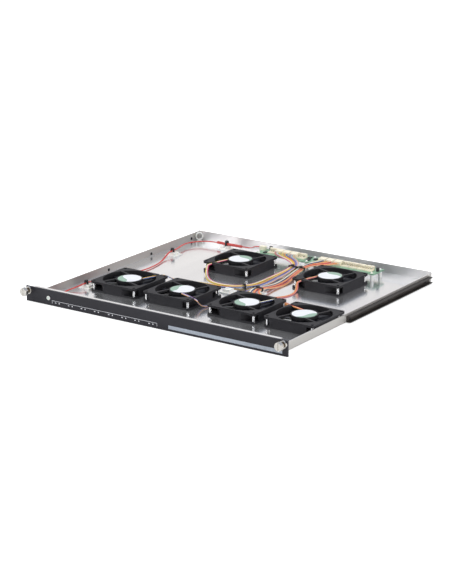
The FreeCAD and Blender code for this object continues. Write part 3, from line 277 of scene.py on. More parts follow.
dull_walls_with_painted_shade(PLATED_SHEET, flat=(0.18, 0.90), upright=(0.42, 0.76))
dress("tray", PLATED_SHEET)

# %% [markdown]
# Black paint on the front panel is satin and almost even. The rails have a darker, drier
# coating that has rubbed warmer in places.

# %% Painted and coated steel
PANEL_PAINT = finish("panel_paint", (0.019, 0.018, 0.024), 0.42, spread=0.10, grain=0.0004, bump=0.08, specular=0.35)
RAIL_COATING = finish("rail_coating", (0.050, 0.043, 0.038), 0.45, metallic=0.4, spread=0.18, grain=0.0005, bump=0.06)
BLACK_OXIDE = finish("black_oxide", (0.030, 0.030, 0.033), 0.35, metallic=0.6, grain=0.0003, bump=0.05)
dress("front_panel", PANEL_PAINT)
dress("slide_rail_left", RAIL_COATING)
dress("slide_rail_right", RAIL_COATING)

# %% [markdown]
# Fan frames and impellers are moulded in glass-filled black plastic. The frame is slightly
# greyer and duller than the impeller, whose blades shine a little from the mould.

# %% Moulded fans
FRAME_PLASTIC = finish("frame_plastic", (0.020, 0.019, 0.022), 0.52, spread=0.10, grain=0.0005, bump=0.12,
                       specular=0.28)
BLADE_PLASTIC = finish("blade_plastic", (0.015, 0.015, 0.020), 0.36, spread=0.10, grain=0.0005, bump=0.06,
                       specular=0.35)
GROUND_STEEL = finish("ground_steel", (0.70, 0.70, 0.71), 0.18, metallic=1.0, grain=0.0003)
for number in range(1, 7):
    dress(f"fan_{number}_frame", FRAME_PLASTIC)
    dress(f"fan_{number}_impeller", BLADE_PLASTIC)
    dress(f"fan_{number}_shaft", GROUND_STEEL)
dress("fan_bearings", finish("sintered_bronze", (0.48, 0.33, 0.18), 0.4, metallic=1.0, grain=0.0002, bump=0.15))
dress("stator_cores", finish("laminated_steel", (0.42, 0.42, 0.44), 0.4, metallic=1.0, stretch=(0.1, 0.1, 8),
                             grain=0.0005))
dress("stator_windings", finish("enamelled_copper", (0.55, 0.22, 0.08), 0.3, metallic=1.0, stretch=(8, 8, 1),
                                grain=0.0005))

# %% [markdown]
# The boards are glass laminate under a green mask. The mask is glossy and shows a slightly
# lighter green over copper, which a coarse noise with a hard step stands for.

# %% Boards
BOARD_MASK = finish("board_mask", (0.26, 0.44, 0.30), 0.30, spread=0.05, second=(0.14, 0.32, 0.20), blotch=0.006,
                    grain=0.0004, bump=0.04)
dress("control_board", BOARD_MASK)
dress("motor_boards", BOARD_MASK)

# %% [markdown]
# Small mouldings: cream sockets and plugs, natural nylon for stand-offs, tie mounts, the lamp
# holder and the guide ring, and black nylon for ties. Nylon lets light in a little way, so its
# shadows are soft and warm.

# %% Small mouldings
def translucent(material, weight, reach):
    """Lets light scatter a short way under the surface, as in nylon."""
    shader = material.node_tree.nodes["Principled BSDF"]
    shader.inputs["Subsurface Weight"].default_value = weight
    shader.inputs["Subsurface Scale"].default_value = reach
    shader.inputs["Subsurface Radius"].default_value = (1.0, 0.8, 0.6)


CREAM_NYLON = finish("cream_nylon", (0.98, 0.90, 0.72), 0.35, spread=0.03, grain=0.0004, bump=0.05)
WHITE_NYLON = finish("white_nylon", (0.93, 0.92, 0.88), 0.35, spread=0.02, grain=0.0004, bump=0.05)
translucent(CREAM_NYLON, 0.1, 0.0006)
translucent(WHITE_NYLON, 0.15, 0.0008)
BLACK_NYLON = finish("black_nylon", (0.020, 0.020, 0.022), 0.40, grain=0.0003, bump=0.08)
TIN_PLATE = finish("tin_plate", (0.80, 0.80, 0.78), 0.22, metallic=1.0, grain=0.0002)
for node in ("fan_sockets", "fan_plugs", "lamp_socket"):
    dress(node, CREAM_NYLON)
for node in ("board_standoffs", "tie_mounts", "corner_ring", "lamp_holder"):
    dress(node, WHITE_NYLON)
dress("cable_ties", BLACK_NYLON)
dress("power_socket", BLACK_NYLON)
dress("socket_pins", TIN_PLATE)
dress("board_components", finish("package_epoxy", (0.035, 0.035, 0.037), 0.5, grain=0.0002, bump=0.1))
dress("lead_sleeve", finish("shrink_sleeve", (0.62, 0.055, 0.045), 0.35, spread=0.08, grain=0.0015, bump=0.2))
dress("lamp_lens", finish("lamp_lens", (0.62, 0.72, 0.66), 0.12, spread=0.02, coat=0.5))
dress("panel_nuts", finish("zinc_nut", (0.72, 0.72, 0.72), 0.25, metallic=1.0, grain=0.0003))

# %% [markdown]
# A round paper label lies on each motor. It is white with a pale green part, and the line
# between the two is a shallow S. Each fan was mounted in another direction, so the green part
# points another way on each. The pattern reads the label's own UV map, which is turned with it.

# %% Labels
# Each fan's centre in metres, and its quarter turns
FANS = {
    1: (-0.1320, -0.0750, 0), 2: (-0.0380, -0.0750, -1), 3: (0.0720, -0.0750, 0),
    4: (0.1658, -0.0750, 1), 5: (-0.0575, 0.0940, 2), 6: (0.0990, 0.0940, 2),
}
LABEL_RADIUS = 0.0171
LABEL_THICK = 0.00012
LABEL_LIFT = 0.00002
LABEL_GREEN = (0.27, 0.44, 0.34)
GREEN_WAVES, GREEN_SWING, GREEN_RISE = 3.2, 0.14, -0.38

# Where the green part lies on each label, in degrees from +X
GREEN_TOWARDS = {1: 222, 2: 182, 3: 228, 4: 330, 5: 62, 6: 70}


def label_finish():
    """White paper with a green part where v < GREEN_SWING sin(GREEN_WAVES u) + GREEN_RISE."""
    material = finish("label_paper", (0.86, 0.88, 0.93), 0.35, spread=0.01, grain=0.0003, bump=0.03, coat=0.2)
    tree = material.node_tree
    own = tree.nodes.new("ShaderNodeUVMap")
    split = parts_of(tree, own.outputs["UV"])
    curve = maths(tree, "SINE", maths(tree, "MULTIPLY", split["X"], GREEN_WAVES))
    edge = maths(tree, "MULTIPLY_ADD", curve, GREEN_SWING, GREEN_RISE)
    toned(material, maths(tree, "LESS_THAN", split["Y"], edge), LABEL_GREEN, "MIX")
    return material


LABEL_PAPER = label_finish()


def make_label(number):
    """A thin disc whose edge curls down by its own thickness.

    u and v run from -1 to 1, and v points away from the green part.
    """
    x, y, _ = FANS[number]
    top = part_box(f"fan_{number}_frame")[1].z
    rings = np.array([0, 0.3, 0.6, 0.85, 0.97, 1.0, 1.0]) * LABEL_RADIUS
    heights = np.array([1, 1, 1, 1, 1, 0.6, 0.0]) * LABEL_THICK
    points = turned(np.column_stack([rings, heights]), 64)
    faces = grid_faces(*points.shape[:2], wrap=True)
    label = add_mesh(f"fan_{number}_label", points + np.array([x, y, top + LABEL_LIFT]), faces)
    mesh = label.data
    places = np.zeros(len(mesh.vertices) * 3)
    mesh.vertices.foreach_get("co", places)
    flat = (places.reshape(-1, 3)[:, :2] - np.array([x, y])) / LABEL_RADIUS
    away = math.radians(GREEN_TOWARDS[number] + 180)
    frame_v = np.array([math.cos(away), math.sin(away)])
    frame_u = np.array([frame_v[1], -frame_v[0]])
    corner = np.zeros(len(mesh.loops), int)
    mesh.loops.foreach_get("vertex_index", corner)
    layer = mesh.uv_layers.new(name="own")
    layer.data.foreach_set("uv", np.column_stack([flat @ frame_u, flat @ frame_v])[corner].ravel())
    return finished(label, "chassis", "nylon", LABEL_PAPER)


labels = [make_label(number) for number in FANS]
print("labels:", len(labels))

# %% [markdown]
# Each fan screw comes up from below: a flat head flush with the floor, and a threaded shank
# that shows as a bright post in the open corner of the frame. A thread is a turned surface
# whose radius also rises and falls with the height minus the angle.

# %% Fan screws
BRIGHT_ZINC = finish("bright_zinc", (0.78, 0.78, 0.77), 0.20, metallic=1.0, spread=0.04, grain=0.0002, bump=0.04)
SCREW_SPACING = 0.0715
SHANK = 0.00195
PITCH = 0.0007
THREAD_DEPTH = 0.00022


def thread(first, last):
    """Ripple of a right-hand thread: a triangle wave of (height / pitch - angle / one turn), faded at both ends."""
    def ripple(angle, height):
        phase = (height / PITCH - angle / (2 * np.pi)) % 1
        wave = np.abs(2 * phase - 1) - 1
        fade = np.clip((height - first) / PITCH, 0, 1) * np.clip((last - height) / PITCH, 0, 1)
        return THREAD_DEPTH * wave * fade
    return ripple


def cross_recess(points, reach, width, depth):
    """Sinks a flat, turned face along two crossed slots; the depth fades to nothing at their ends."""
    across, along = np.abs(points[..., 0]), np.abs(points[..., 1])
    near, far = np.minimum(across, along), np.maximum(across, along)
    sunk = np.clip(1 - near / width, 0, 1) ** 0.5 * np.clip(1 - far / reach, 0, 1) ** 0.5
    return points + np.stack([0 * sunk, 0 * sunk, depth * sunk], axis=-1)


def screw_points():
    """One fan screw about Z, its head's face at height zero and looking down."""
    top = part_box("fan_screws")[1].z
    face = turned([(r * MM, 0.0) for r in (0, 0.2, 0.4, 0.6, 0.9, 1.2, 1.5, 1.8, 2.4, 3.2, 3.58)], 32)
    face = cross_recess(face, 0.0019, 0.0005, 0.0008)
    outline = [(0.0036, 0.00003), (SHANK, 0.0009), (SHANK, top - 0.0003), (SHANK - 0.0003, top), (0, top)]
    side = fine_profile(outline, PITCH / 6)
    return np.concatenate([face, turned(side, 32, thread(0.0016, top - 0.0004))])


one_screw = screw_points()
corners = SCREW_SPACING / 2 * np.array([(-1, -1), (1, -1), (-1, 1), (1, 1)])
screw_places = [(x + dx, y + dy, 0) for x, y, _ in FANS.values() for dx, dy in corners]
one_faces = grid_faces(*one_screw.shape[:2], wrap=True)
stride = one_screw.shape[0] * one_screw.shape[1]
screws = add_mesh(
    "fan_screw_set",
    np.concatenate([one_screw.reshape(-1, 3) + np.array(place) for place in screw_places]),
    np.concatenate([one_faces + k * stride for k in range(len(screw_places))]),
)
finished(screws, "chassis", "zinc", BRIGHT_ZINC, "fan_screws")
print("fan screws:", len(screw_places), "faces:", len(screws.data.polygons))

# %% [markdown]
# Black rivets hold the rails. Inside the tray their heads are shallow domes, which CAD leaves
# as flat discs.

# %% Rail rivets
RIVET_Y = (-0.0295, 0.0725, 0.1745)


def rivet_points(side, y):
    """A rivet along X: domed head inside the wall, shank, and a low domed head in the rail's groove."""
    low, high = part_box("rail_rivets")
    z = (low.z + high.z) / 2
    dome = [(0.0024 * math.sin(a), 0.0010 * math.cos(a)) for a in np.linspace(0, math.pi / 2, 7)]
    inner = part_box("tray")[1].x - 0.0012
    outer = high.x
    profile = [(r, inner - h) for r, h in dome] + [(0.0016, inner), (0.0016, inner + 0.0024)]
    profile += [(0.0024, inner + 0.0024), (0.0024, outer - 0.0005), (0.0018, outer - 0.0001), (0, outer)]
    spun = turned(profile, 28)
    points = np.stack([spun[..., 2], spun[..., 0], spun[..., 1]], axis=-1)
    points[..., 0] *= side
    return points + np.array([0, y, z])


rivets = [rivet_points(side, y) for side in (-1, 1) for y in RIVET_Y]
stride = rivets[0].shape[0] * rivets[0].shape[1]
rivet_set = add_mesh(
    "rail_rivet_set",
    np.concatenate([points.reshape(-1, 3) for points in rivets]),
    np.concatenate([grid_faces(*rivets[0].shape[:2], wrap=True) + k * stride for k in range(len(rivets))]),
)
finished(rivet_set, "chassis", "rivet_black", BLACK_OXIDE, "rail_rivets")

# %% [markdown]
# The thumbscrews are what the hand touches. A knurled knob sits on a shank that slides in a
# collar, and a coil spring between the collar and a washer pushes it out. The knurl is a
# diamond pattern: two families of grooves that wind round the knob in opposite directions.

# %% Thumbscrews
NICKEL = finish("bright_nickel", (0.68, 0.655, 0.61), 0.18, metallic=1.0, spread=0.03, grain=0.0003, bump=0.03)
SPRING_STEEL = finish("oiled_spring_steel", (0.30, 0.24, 0.18), 0.32, metallic=1.0, spread=0.1, grain=0.0003)
THUMB_X = 0.2145
THUMB_Z = 0.0162
KNURLS = 44
KNURL_DEPTH = 0.00022


def forward(points, side):
    """Turns points made about Z so that their heights point out of the panel, and moves them to the thumbscrew."""
    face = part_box("front_panel")[0].y
    return np.stack([points[..., 0] + side * THUMB_X, face - points[..., 2], points[..., 1] + THUMB_Z], axis=-1)


def knurl(first, last):
    """Ripple of a diamond knurl between two heights: the product of two sines that wind opposite ways."""
    def ripple(angle, height):
        wind = height / 0.0009 * np.pi
        diamonds = np.abs(np.sin(KNURLS / 2 * angle + wind) * np.sin(KNURLS / 2 * angle - wind))
        fade = np.clip((height - first) / 0.0003, 0, 1) * np.clip((last - height) / 0.0003, 0, 1)
        return -KNURL_DEPTH * (1 - diamonds) * fade
    return ripple


def make_knob(name, side):
    """Slotted, knurled knob and threaded shank in one turned surface."""
    low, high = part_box(f"thumbscrew_{name}")
    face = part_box("front_panel")[0].y
    top, tail = face - low.y, face - high.y
    base = top - 0.0060
    front = turned([(r * MM, top) for r in (0, 0.3, 0.6, 0.9, 1.4, 2.0, 2.7, 3.4, 4.1, 4.8, 5.3)], 132)
    slot = np.clip(1 - np.maximum(np.abs(front[..., 0]) - 0.0006, 0) / 0.0002, 0, 1)
    front[..., 2] -= 0.0015 * slot
    grip = fine_profile([(0.0054, top), (0.0061, top - 0.0007), (0.0061, base + 0.0012)], 0.00018)
    neck = fine_profile([(0.0048, base + 0.0008), (0.0048, base), (0.0020, base)], 0.0008)
    shank = fine_profile([(0.0020, base - 0.0001), (0.0020, tail + 0.0004), (0.0016, tail), (0, tail)], 0.00012)
    knurled = turned(grip, 132, knurl(base + 0.0013, top - 0.0006))
    cut = thread(tail + 0.0002, tail + 0.0040)
    points = np.concatenate([front, knurled, turned(neck, 132), turned(shank, 132, cut)])
    knob = add_mesh(f"thumbscrew_{name}_knob", forward(points, side), grid_faces(*points.shape[:2], wrap=True))
    return finished(knob, f"thumbscrew_{name}", "nickel", NICKEL, f"thumbscrew_{name}")


def make_coil(name, side):
    """A coil spring: a round wire swept along a helix whose ends lie flat."""
    low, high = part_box(f"thumbscrew_{name}_spring")
    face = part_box("front_panel")[0].y
    start, end = face - high.y, face - low.y
    wire, radius, turns = 0.00028, 0.00328, 7.0
    t = np.linspace(0, 1, 40 * int(turns) + 1)
    rise = np.clip((t * turns - 0.8) / (turns - 1.6), 0, 1)
    height = start + wire + (end - start - 2 * wire) * rise
    angle = 2 * np.pi * turns * t
    centre = np.stack([radius * np.cos(angle), radius * np.sin(angle), height], axis=-1)
    around = np.linspace(0, 2 * np.pi, 12, endpoint=False)
    outward = np.stack([np.cos(angle), np.sin(angle), 0 * angle], axis=-1)
    ring = centre[:, None] + wire * (np.cos(around)[None, :, None] * outward[:, None]
                                     + np.sin(around)[None, :, None] * np.array([0, 0, 1.0]))
    ends = [np.repeat(centre[:1, None], 12, axis=1), np.repeat(centre[-1:, None], 12, axis=1)]
    points = np.concatenate([ends[0], ring, ends[1]])
    coil = add_mesh(f"thumbscrew_{name}_coil", forward(points, side), grid_faces(*points.shape[:2], wrap=True))
    finished(coil, "chassis", "spring_steel", SPRING_STEEL, f"thumbscrew_{name}_spring")
    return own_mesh(coil)


for name, side in (("left", -1), ("right", 1)):
    make_knob(name, side)
    make_coil(name, side)
    dress(f"thumbscrew_{name}_collar", NICKEL)
    dress(f"thumbscrew_{name}_washer", NICKEL)
    dress(f"thumbscrew_{name}_clip", SPRING_STEEL)
print("thumbscrews: knob, coil and collar on each side")

# %% [markdown]
# Loose leads are what makes this tray look used. Each fan has three thin insulated wires that
# lie side by side, part a little and come together under the ties. Every wire is one smooth
# NURBS line through the same given route, moved a wire's width to the side. The colours
# are those of such leads: yellows, oranges, reds, blues, purple, cream and white.

# %% Routes of the leads, in metres
LAMP_LEAD = (
    (-0.1790, -0.1860, 0.0104), (-0.1790, -0.1785, 0.0104), (-0.1845, -0.1680, 0.0064),
    (-0.1930, -0.1540, 0.0032), (-0.1960, -0.1390, 0.0030), (-0.1915, -0.1260, 0.0050),
    (-0.1866, -0.1140, 0.0080), (-0.1866, -0.0980, 0.0080), (-0.1893, -0.0860, 0.0046),
    (-0.1925, -0.0720, 0.0028), (-0.1920, -0.0540, 0.0028), (-0.1850, -0.0330, 0.0028),
    (-0.1735, -0.0140, 0.0028), (-0.1675, 0.0070, 0.0028), (-0.1688, 0.0340, 0.0028),
    (-0.1743, 0.0560, 0.0028), (-0.1808, 0.0740, 0.0048), (-0.1845, 0.0880, 0.0080),
    (-0.1845, 0.1040, 0.0080), (-0.1890, 0.1180, 0.0072), (-0.1930, 0.1330, 0.0070),
    (-0.1935, 0.1470, 0.0070), (-0.1840, 0.1640, 0.0070), (-0.1640, 0.1700, 0.0085),
    (-0.0980, 0.1700, 0.0085), (-0.0860, 0.1670, 0.0110), (-0.0780, 0.1620, 0.0164),
    (-0.0680, 0.1620, 0.0164),
)

FAN_LEADS = (
    (
        (-0.1030, -0.0230, 0.0104), (-0.0960, -0.0130, 0.0038), (-0.0790, -0.0020, 0.0028),
        (-0.0500, 0.0005, 0.0028), (-0.0200, 0.0030, 0.0028), (0.0010, 0.0085, 0.0043),
        (0.0130, 0.0210, 0.0043), (0.0150, 0.0460, 0.0028), (0.0150, 0.0750, 0.0034),
        (0.0170, 0.0950, 0.0056), (0.0196, 0.1100, 0.0086), (0.0196, 0.1240, 0.0106),
        (0.0110, 0.1335, 0.0142), (-0.0157, 0.1432, 0.0168),
    ),
    (
        (0.0068, -0.0990, 0.0092), (0.0080, -0.0935, 0.0044), (0.0130, -0.0870, 0.0030),
        (0.0185, -0.0660, 0.0028), (0.0175, -0.0400, 0.0028), (0.0150, -0.0150, 0.0028),
        (0.0190, 0.0110, 0.0028), (0.0208, 0.0440, 0.0028), (0.0215, 0.0750, 0.0034), (0.0225, 0.0950, 0.0056),
        (0.0232, 0.1100, 0.0086), (0.0232, 0.1240, 0.0106), (0.0160, 0.1350, 0.0142),
        (-0.0025, 0.1432, 0.0168),
    ),
    (
        (0.0985, -0.0239, 0.0104), (0.0890, -0.0175, 0.0038), (0.0680, -0.0180, 0.0028),
        (0.0460, -0.0195, 0.0028), (0.0330, -0.0145, 0.0042), (0.0296, -0.0030, 0.0081),
        (0.0296, 0.0130, 0.0081), (0.0296, 0.0280, 0.0042), (0.0315, 0.0540, 0.0028),
        (0.0315, 0.0750, 0.0034), (0.0304, 0.0950, 0.0056), (0.0304, 0.1100, 0.0086),
        (0.0304, 0.1240, 0.0106), (0.0370, 0.1350, 0.0142), (0.0478, 0.1432, 0.0168),
    ),
    (
        (0.1155, -0.0475, 0.0104), (0.1166, -0.0330, 0.0038), (0.1030, -0.0140, 0.0028),
        (0.0780, -0.0110, 0.0028), (0.0560, -0.0135, 0.0028), (0.0395, -0.0135, 0.0042),
        (0.0352, -0.0030, 0.0081), (0.0352, 0.0130, 0.0081), (0.0359, 0.0280, 0.0042),
        (0.0375, 0.0540, 0.0028), (0.0375, 0.0750, 0.0034), (0.0340, 0.0950, 0.0056),
        (0.0340, 0.1100, 0.0086), (0.0340, 0.1240, 0.0106), (0.0430, 0.1340, 0.0142),
        (0.0610, 0.1432, 0.0168),
    ),
    (
        (-0.0846, 0.0480, 0.0095), (-0.0830, 0.0440, 0.0040), (-0.0710, 0.0290, 0.0028),
        (-0.0530, 0.0140, 0.0028), (-0.0300, 0.0100, 0.0028), (-0.0120, 0.0120, 0.0032),
        (-0.0020, 0.0145, 0.0043), (0.0075, 0.0250, 0.0043), (0.0070, 0.0480, 0.0028), (0.0085, 0.0750, 0.0034),
        (0.0125, 0.0950, 0.0056), (0.0160, 0.1100, 0.0086), (0.0160, 0.1240, 0.0106),
        (0.0050, 0.1320, 0.0142), (-0.0289, 0.1432, 0.0168),
    ),
    (
        (0.0730, 0.0475, 0.0095), (0.0750, 0.0440, 0.0040), (0.0796, 0.0298, 0.0028),
        (0.0775, 0.0110, 0.0028), (0.0640, -0.0030, 0.0028), (0.0480, -0.0075, 0.0042),
        (0.0408, -0.0030, 0.0081), (0.0408, 0.0130, 0.0081), (0.0424, 0.0280, 0.0042),
        (0.0445, 0.0540, 0.0028), (0.0440, 0.0750, 0.0034), (0.0376, 0.0950, 0.0056),
        (0.0376, 0.1100, 0.0086), (0.0376, 0.1240, 0.0106), (0.0490, 0.1320, 0.0142),
        (0.0742, 0.1432, 0.0168),
    ),
)

# %% Wires
WIRE = 0.0013
INSULATION_COLOURS = {
    "yellow": (0.86, 0.62, 0.10), "orange": (0.84, 0.30, 0.06), "red": (0.66, 0.06, 0.05), "blue": (0.10, 0.22, 0.50),
    "purple": (0.34, 0.15, 0.42), "white": (0.86, 0.86, 0.84), "rose": (0.74, 0.24, 0.26),
    "cream": (0.88, 0.80, 0.52), "peach": (0.88, 0.50, 0.28), "pale_blue": (0.42, 0.55, 0.78),
    "navy": (0.05, 0.07, 0.22), "crimson": (0.74, 0.09, 0.20),
}
INSULATION = {name: finish(f"insulation_{name}", colour, 0.32, spread=0.05, grain=0.0008, bump=0.05)
              for name, colour in INSULATION_COLOURS.items()}
LEAD_COLOURS = {
    1: ("yellow", "orange", "blue"), 2: ("purple", "pale_blue", "peach"), 3: ("cream", "white", "navy"),
    4: ("orange", "peach", "red"), 5: ("crimson", "white", "yellow"), 6: ("rose", "orange", "peach"),
}
PIN_STEP = 0.0036
STRUT_OFFSET = 0.0104
STRUT_ANGLE = math.radians(71)

# Level of the strut's channel above the foot of the fan, and how high a lead still lies on the floor
CHANNEL_LEVEL = 0.0139
ON_FLOOR = 0.0032


def channel_points(number):
    """The lead's first two points, as in the CAD model: in the strut's channel by the hub, and past the rim."""
    x, y, turns = FANS[number]
    along = np.array([math.cos(STRUT_ANGLE), math.sin(STRUT_ANGLE)])
    aside = np.array([along[1], -along[0]]) * STRUT_OFFSET
    rim = (0.040 - aside[1]) / along[1]
    angle = math.pi / 2 * turns
    turn = np.array([[math.cos(angle), -math.sin(angle)], [math.sin(angle), math.cos(angle)]])
    flat = [turn @ (aside + along * reach) + (x, y) for reach in (0.01226, rim + 0.0046)]
    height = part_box(f"fan_{number}_frame")[0].z + CHANNEL_LEVEL
    return [(*point, height) for point in flat]


def beside(route, sideways, up):
    """The route moved sideways, level and square to its direction, and up; both may differ from point to point."""
    route = np.asarray(route, float)
    heading = np.gradient(route, axis=0)[:, :2]
    heading /= np.linalg.norm(heading, axis=1)[:, None]
    moved = route.copy()
    moved[:, 0] += heading[:, 1] * sideways
    moved[:, 1] -= heading[:, 0] * sideways
    moved[:, 2] += up
    return moved


def add_wire(name, points, radius, material):
    """One wire: a NURBS line of order 3 whose control points are the given ones, with a round bevel."""
    curve = bpy.data.curves.new(name, "CURVE")
    curve.dimensions = "3D"
    curve.bevel_depth = radius
    curve.bevel_resolution = 3
    curve.use_fill_caps = True
    curve.resolution_u = 12
    spline = curve.splines.new("NURBS")
    spline.points.add(len(points) - 1)
    spline.points.foreach_set("co", np.column_stack([points, np.ones(len(points))]).ravel())
    spline.order_u = 3
    spline.use_endpoint_u = True
    wire = bpy.data.objects.new(name, curve)
    bpy.context.scene.collection.objects.link(wire)
    curve.materials.append(material)
    return wire


def lay_lead(number):
    """The three wires of one fan lead, from the strut's channel to the plug."""
    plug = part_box("fan_plugs")[0].y - 0.00005
    route = np.array([*channel_points(number), *FAN_LEADS[number - 1]])
    route = np.vstack([route, (route[-1, 0], plug, route[-1, 2])])
    order = np.arange(len(route))
    part = 0.35 * np.sin(order * 1.9 + number)
    on_floor = route[:, 2] < ON_FLOOR
    for k, colour in enumerate(LEAD_COLOURS[number]):
        lane = (k - 1) * WIRE * (1.02 + 0.45 * on_floor * (1 + np.sin(order * 1.3 + 2 * number)))
        weave = np.where(on_floor, part * WIRE + 0.0004 * np.sin(order * 2.3 + 1.7 * k + number), 0.0)
        up = np.where(on_floor, -0.0009, 0.0) + np.where(on_floor & (k == 1), 0.0004, 0.0)
        lane[:2] = (k - 1) * WIRE * 0.9
        lane[-2:] = (k - 1) * PIN_STEP
        weave[:2] = 0
        points = beside(route, lane + weave, up)
        name = f"fan_{number}_wire_{k + 1}"
        wire = add_wire(name, points, WIRE / 2, INSULATION[colour])
        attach(wire, "chassis")
        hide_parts(f"fan_{number}_lead")


for number in FANS:
    lay_lead(number)

for k, sideways in enumerate((-0.55, 0.55)):
    points = beside(LAMP_LEAD, sideways * WIRE, 0.0)
    wire = add_wire(f"lamp_wire_{k + 1}", points, WIRE / 2 * 0.95, INSULATION["red"])
    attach(wire, "chassis")
    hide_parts("lamp_lead")

# %% [markdown]
# The front panel carries thin printed marks: a bracket over a row of eight dots, short
# ticks beside them, and a pale strip. They are plain shapes a few hundredths of a millimetre
# thick, because print has almost no height.

# %% Printed marks
PRINT_GREY = finish("print_grey", (0.80, 0.80, 0.84), 0.5, spread=0.02)
STRIP_PRINT = finish("strip_print", (0.42, 0.46, 0.52), 0.4, spread=0.05, blotch=0.004)
INK = 0.00003


def plates(name, rectangles, material):
    """Thin rectangles on the panel's face, from (left, right, bottom, top) in millimetres."""
    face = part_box("front_panel")[0].y
    vertices, faces = [], []
    for left, right, bottom, top in rectangles:
        start = len(vertices)
        for depth in (face - INK, face - 0.000002):
            vertices += [(left * MM, depth, bottom * MM), (right * MM, depth, bottom * MM),
                         (right * MM, depth, top * MM), (left * MM, depth, top * MM)]
        front, back = [start, start + 1, start + 2, start + 3], [start + 7, start + 6, start + 5, start + 4]
        rim = [[start + a, start + b, start + 4 + b, start + 4 + a] for a, b in ((0, 3), (3, 2), (2, 1), (1, 0))]
        faces += [front, back, *rim]
    marks = add_mesh(name, vertices, faces, smooth=False)
    return finished(marks, "chassis", "panel_black", material)


DOT_X = (-160.0, -136.5, -113.5, -90.1, -65.5, -42.4, -20.0, 3.9)
bracket = [(-172.8, 10.9, 7.5, 7.95), (-172.8, -172.3, 3.4, 7.5), (10.4, 10.9, 3.4, 7.5)]
ticks = [(x - 7.6, x - 5.2, 4.7, 5.9) for x in DOT_X]
dots = [(x - 0.8, x + 0.8, 4.5, 6.1) for x in DOT_X]
plates("panel_marks", bracket + ticks + dots, PRINT_GREY)
plates("panel_strip", [(29.8, 212.3, 3.3, 8.3)], STRIP_PRINT)

# %% [markdown]
# The floor and the world are one pale studio. Plated metal mirrors the world, which is warm and
# bright near the horizon and a cooler grey higher up. A large lamp overhead gives soft shadows
# and isn't mirrored, so that the tray isn't burnt out from above. One at the left lifts the
# panel's front edge, and one at the right lights the side wall. The paper is one pale colour.
# What whitens it for the camera stops under the tray, so that the openings in the tray's floor
# look down into its real shade.

# %% Studio
# Half widths in metres of the patch under the tray that is not whitened for the camera
UNDER_TRAY = {"X": 0.200, "Y": 0.180}
PAPER_GLOW = 0.55

# What shiny surfaces mirror: colours of the world by height, from the horizon up
MIRRORED_BANDS = (
    (0.0, (1.0, 0.955, 0.90)), (0.285, (1.0, 0.95, 0.89)), (0.36, (0.60, 0.64, 0.74)), (1.0, (0.50, 0.53, 0.60)),
)


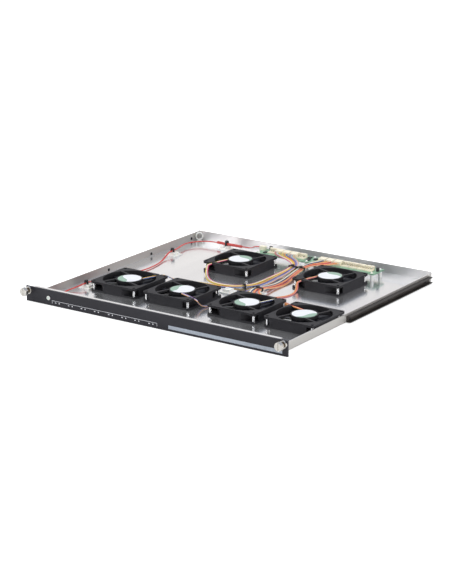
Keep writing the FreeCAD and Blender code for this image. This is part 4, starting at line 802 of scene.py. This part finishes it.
def make_studio():
    """Floor, world and lamps."""
    floor_mesh = bpy.data.meshes.new("floor")
    reach = 6.0
    rim = [(-reach, -reach, 0), (reach, -reach, 0), (reach, reach, 0), (-reach, reach, 0)]
    floor_mesh.from_pydata(rim, [], [(0, 1, 2, 3)])
    floor = bpy.data.objects.new("floor", floor_mesh)
    floor.location.z = -0.0002
    bpy.context.scene.collection.objects.link(floor)
    paper = bpy.data.materials.new("studio_paper")
    paper.use_nodes = True
    tree = paper.node_tree
    diffuse = tree.nodes["Principled BSDF"]
    diffuse.inputs["Base Color"].default_value = (0.92, 0.92, 0.92, 1)
    diffuse.inputs["Roughness"].default_value = 0.9
    diffuse.inputs["Specular IOR Level"].default_value = 0.1
    output = tree.nodes["Material Output"]
    glow = tree.nodes.new("ShaderNodeEmission")
    glow.inputs["Color"].default_value = (1, 1, 1, 1)
    both = tree.nodes.new("ShaderNodeAddShader")
    path = tree.nodes.new("ShaderNodeLightPath")
    seen = tree.nodes.new("ShaderNodeMixShader")
    place = tree.nodes.new("ShaderNodeTexCoord")
    split = parts_of(tree, place.outputs["Object"])
    within = [maths(tree, "LESS_THAN", maths(tree, "ABSOLUTE", split[axis]), half) for axis, half in UNDER_TRAY.items()]
    tree.links.new(between(tree, maths(tree, "MULTIPLY", *within), PAPER_GLOW, 0.0), glow.inputs["Strength"])
    tree.links.new(diffuse.outputs["BSDF"], both.inputs[0])
    tree.links.new(glow.outputs["Emission"], both.inputs[1])
    tree.links.new(path.outputs["Is Camera Ray"], seen.inputs["Fac"])
    tree.links.new(diffuse.outputs["BSDF"], seen.inputs[1])
    tree.links.new(both.outputs["Shader"], seen.inputs[2])
    tree.links.new(seen.outputs["Shader"], output.inputs["Surface"])
    floor_mesh.materials.append(paper)

    world = bpy.data.worlds.new("studio")
    bpy.context.scene.world = world
    world.use_nodes = True
    tree = world.node_tree
    background = tree.nodes["Background"]
    background.inputs["Color"].default_value = (0.93, 0.96, 1.0, 1)
    background.inputs["Strength"].default_value = 0.58
    place = tree.nodes.new("ShaderNodeTexCoord")
    ramp = tree.nodes.new("ShaderNodeValToRGB")
    ramp.color_ramp.elements.new(0.3)
    ramp.color_ramp.elements.new(0.4)
    for element, (height, colour) in zip(ramp.color_ramp.elements, MIRRORED_BANDS):
        element.position = height
        element.color = (*colour, 1)
    tree.links.new(parts_of(tree, place.outputs["Generated"])["Z"], ramp.inputs["Fac"])
    mirrored = tree.nodes.new("ShaderNodeBackground")
    tree.links.new(ramp.outputs["Color"], mirrored.inputs["Color"])
    white = tree.nodes.new("ShaderNodeBackground")
    white.inputs["Color"].default_value = (1, 1, 1, 1)
    path = tree.nodes.new("ShaderNodeLightPath")
    shiny = tree.nodes.new("ShaderNodeMixShader")
    tree.links.new(path.outputs["Is Glossy Ray"], shiny.inputs["Fac"])
    tree.links.new(background.outputs["Background"], shiny.inputs[1])
    tree.links.new(mirrored.outputs["Background"], shiny.inputs[2])
    seen = tree.nodes.new("ShaderNodeMixShader")
    tree.links.new(path.outputs["Is Camera Ray"], seen.inputs["Fac"])
    tree.links.new(shiny.outputs["Shader"], seen.inputs[1])
    tree.links.new(white.outputs["Background"], seen.inputs[2])
    tree.links.new(seen.outputs["Shader"], tree.nodes["World Output"].inputs["Surface"])

    lamps = (
        ("overhead", (-0.3, 0.3, 1.6), (0, 0, 0), 1.6, 14.0),
        ("left_front", (-1.3, -1.3, 0.9), (0, 0, 0), 1.0, 10.0),
        ("right_side", (1.9, -0.5, 0.5), (0, 0, 0), 0.8, 14.0),
    )
    for name, at, towards, size, power in lamps:
        data = bpy.data.lights.new(name, "AREA")
        data.size = size
        data.energy = power
        lamp = bpy.data.objects.new(name, data)
        lamp.location = at
        lamp.visible_glossy = name != "overhead"
        lamp.rotation_mode = "QUATERNION"
        lamp.rotation_quaternion = (Vector(towards) - Vector(at)).to_track_quat("-Z", "Y")
        bpy.context.scene.collection.objects.link(lamp)


make_studio()
bpy.context.scene.view_settings.view_transform = "Standard"
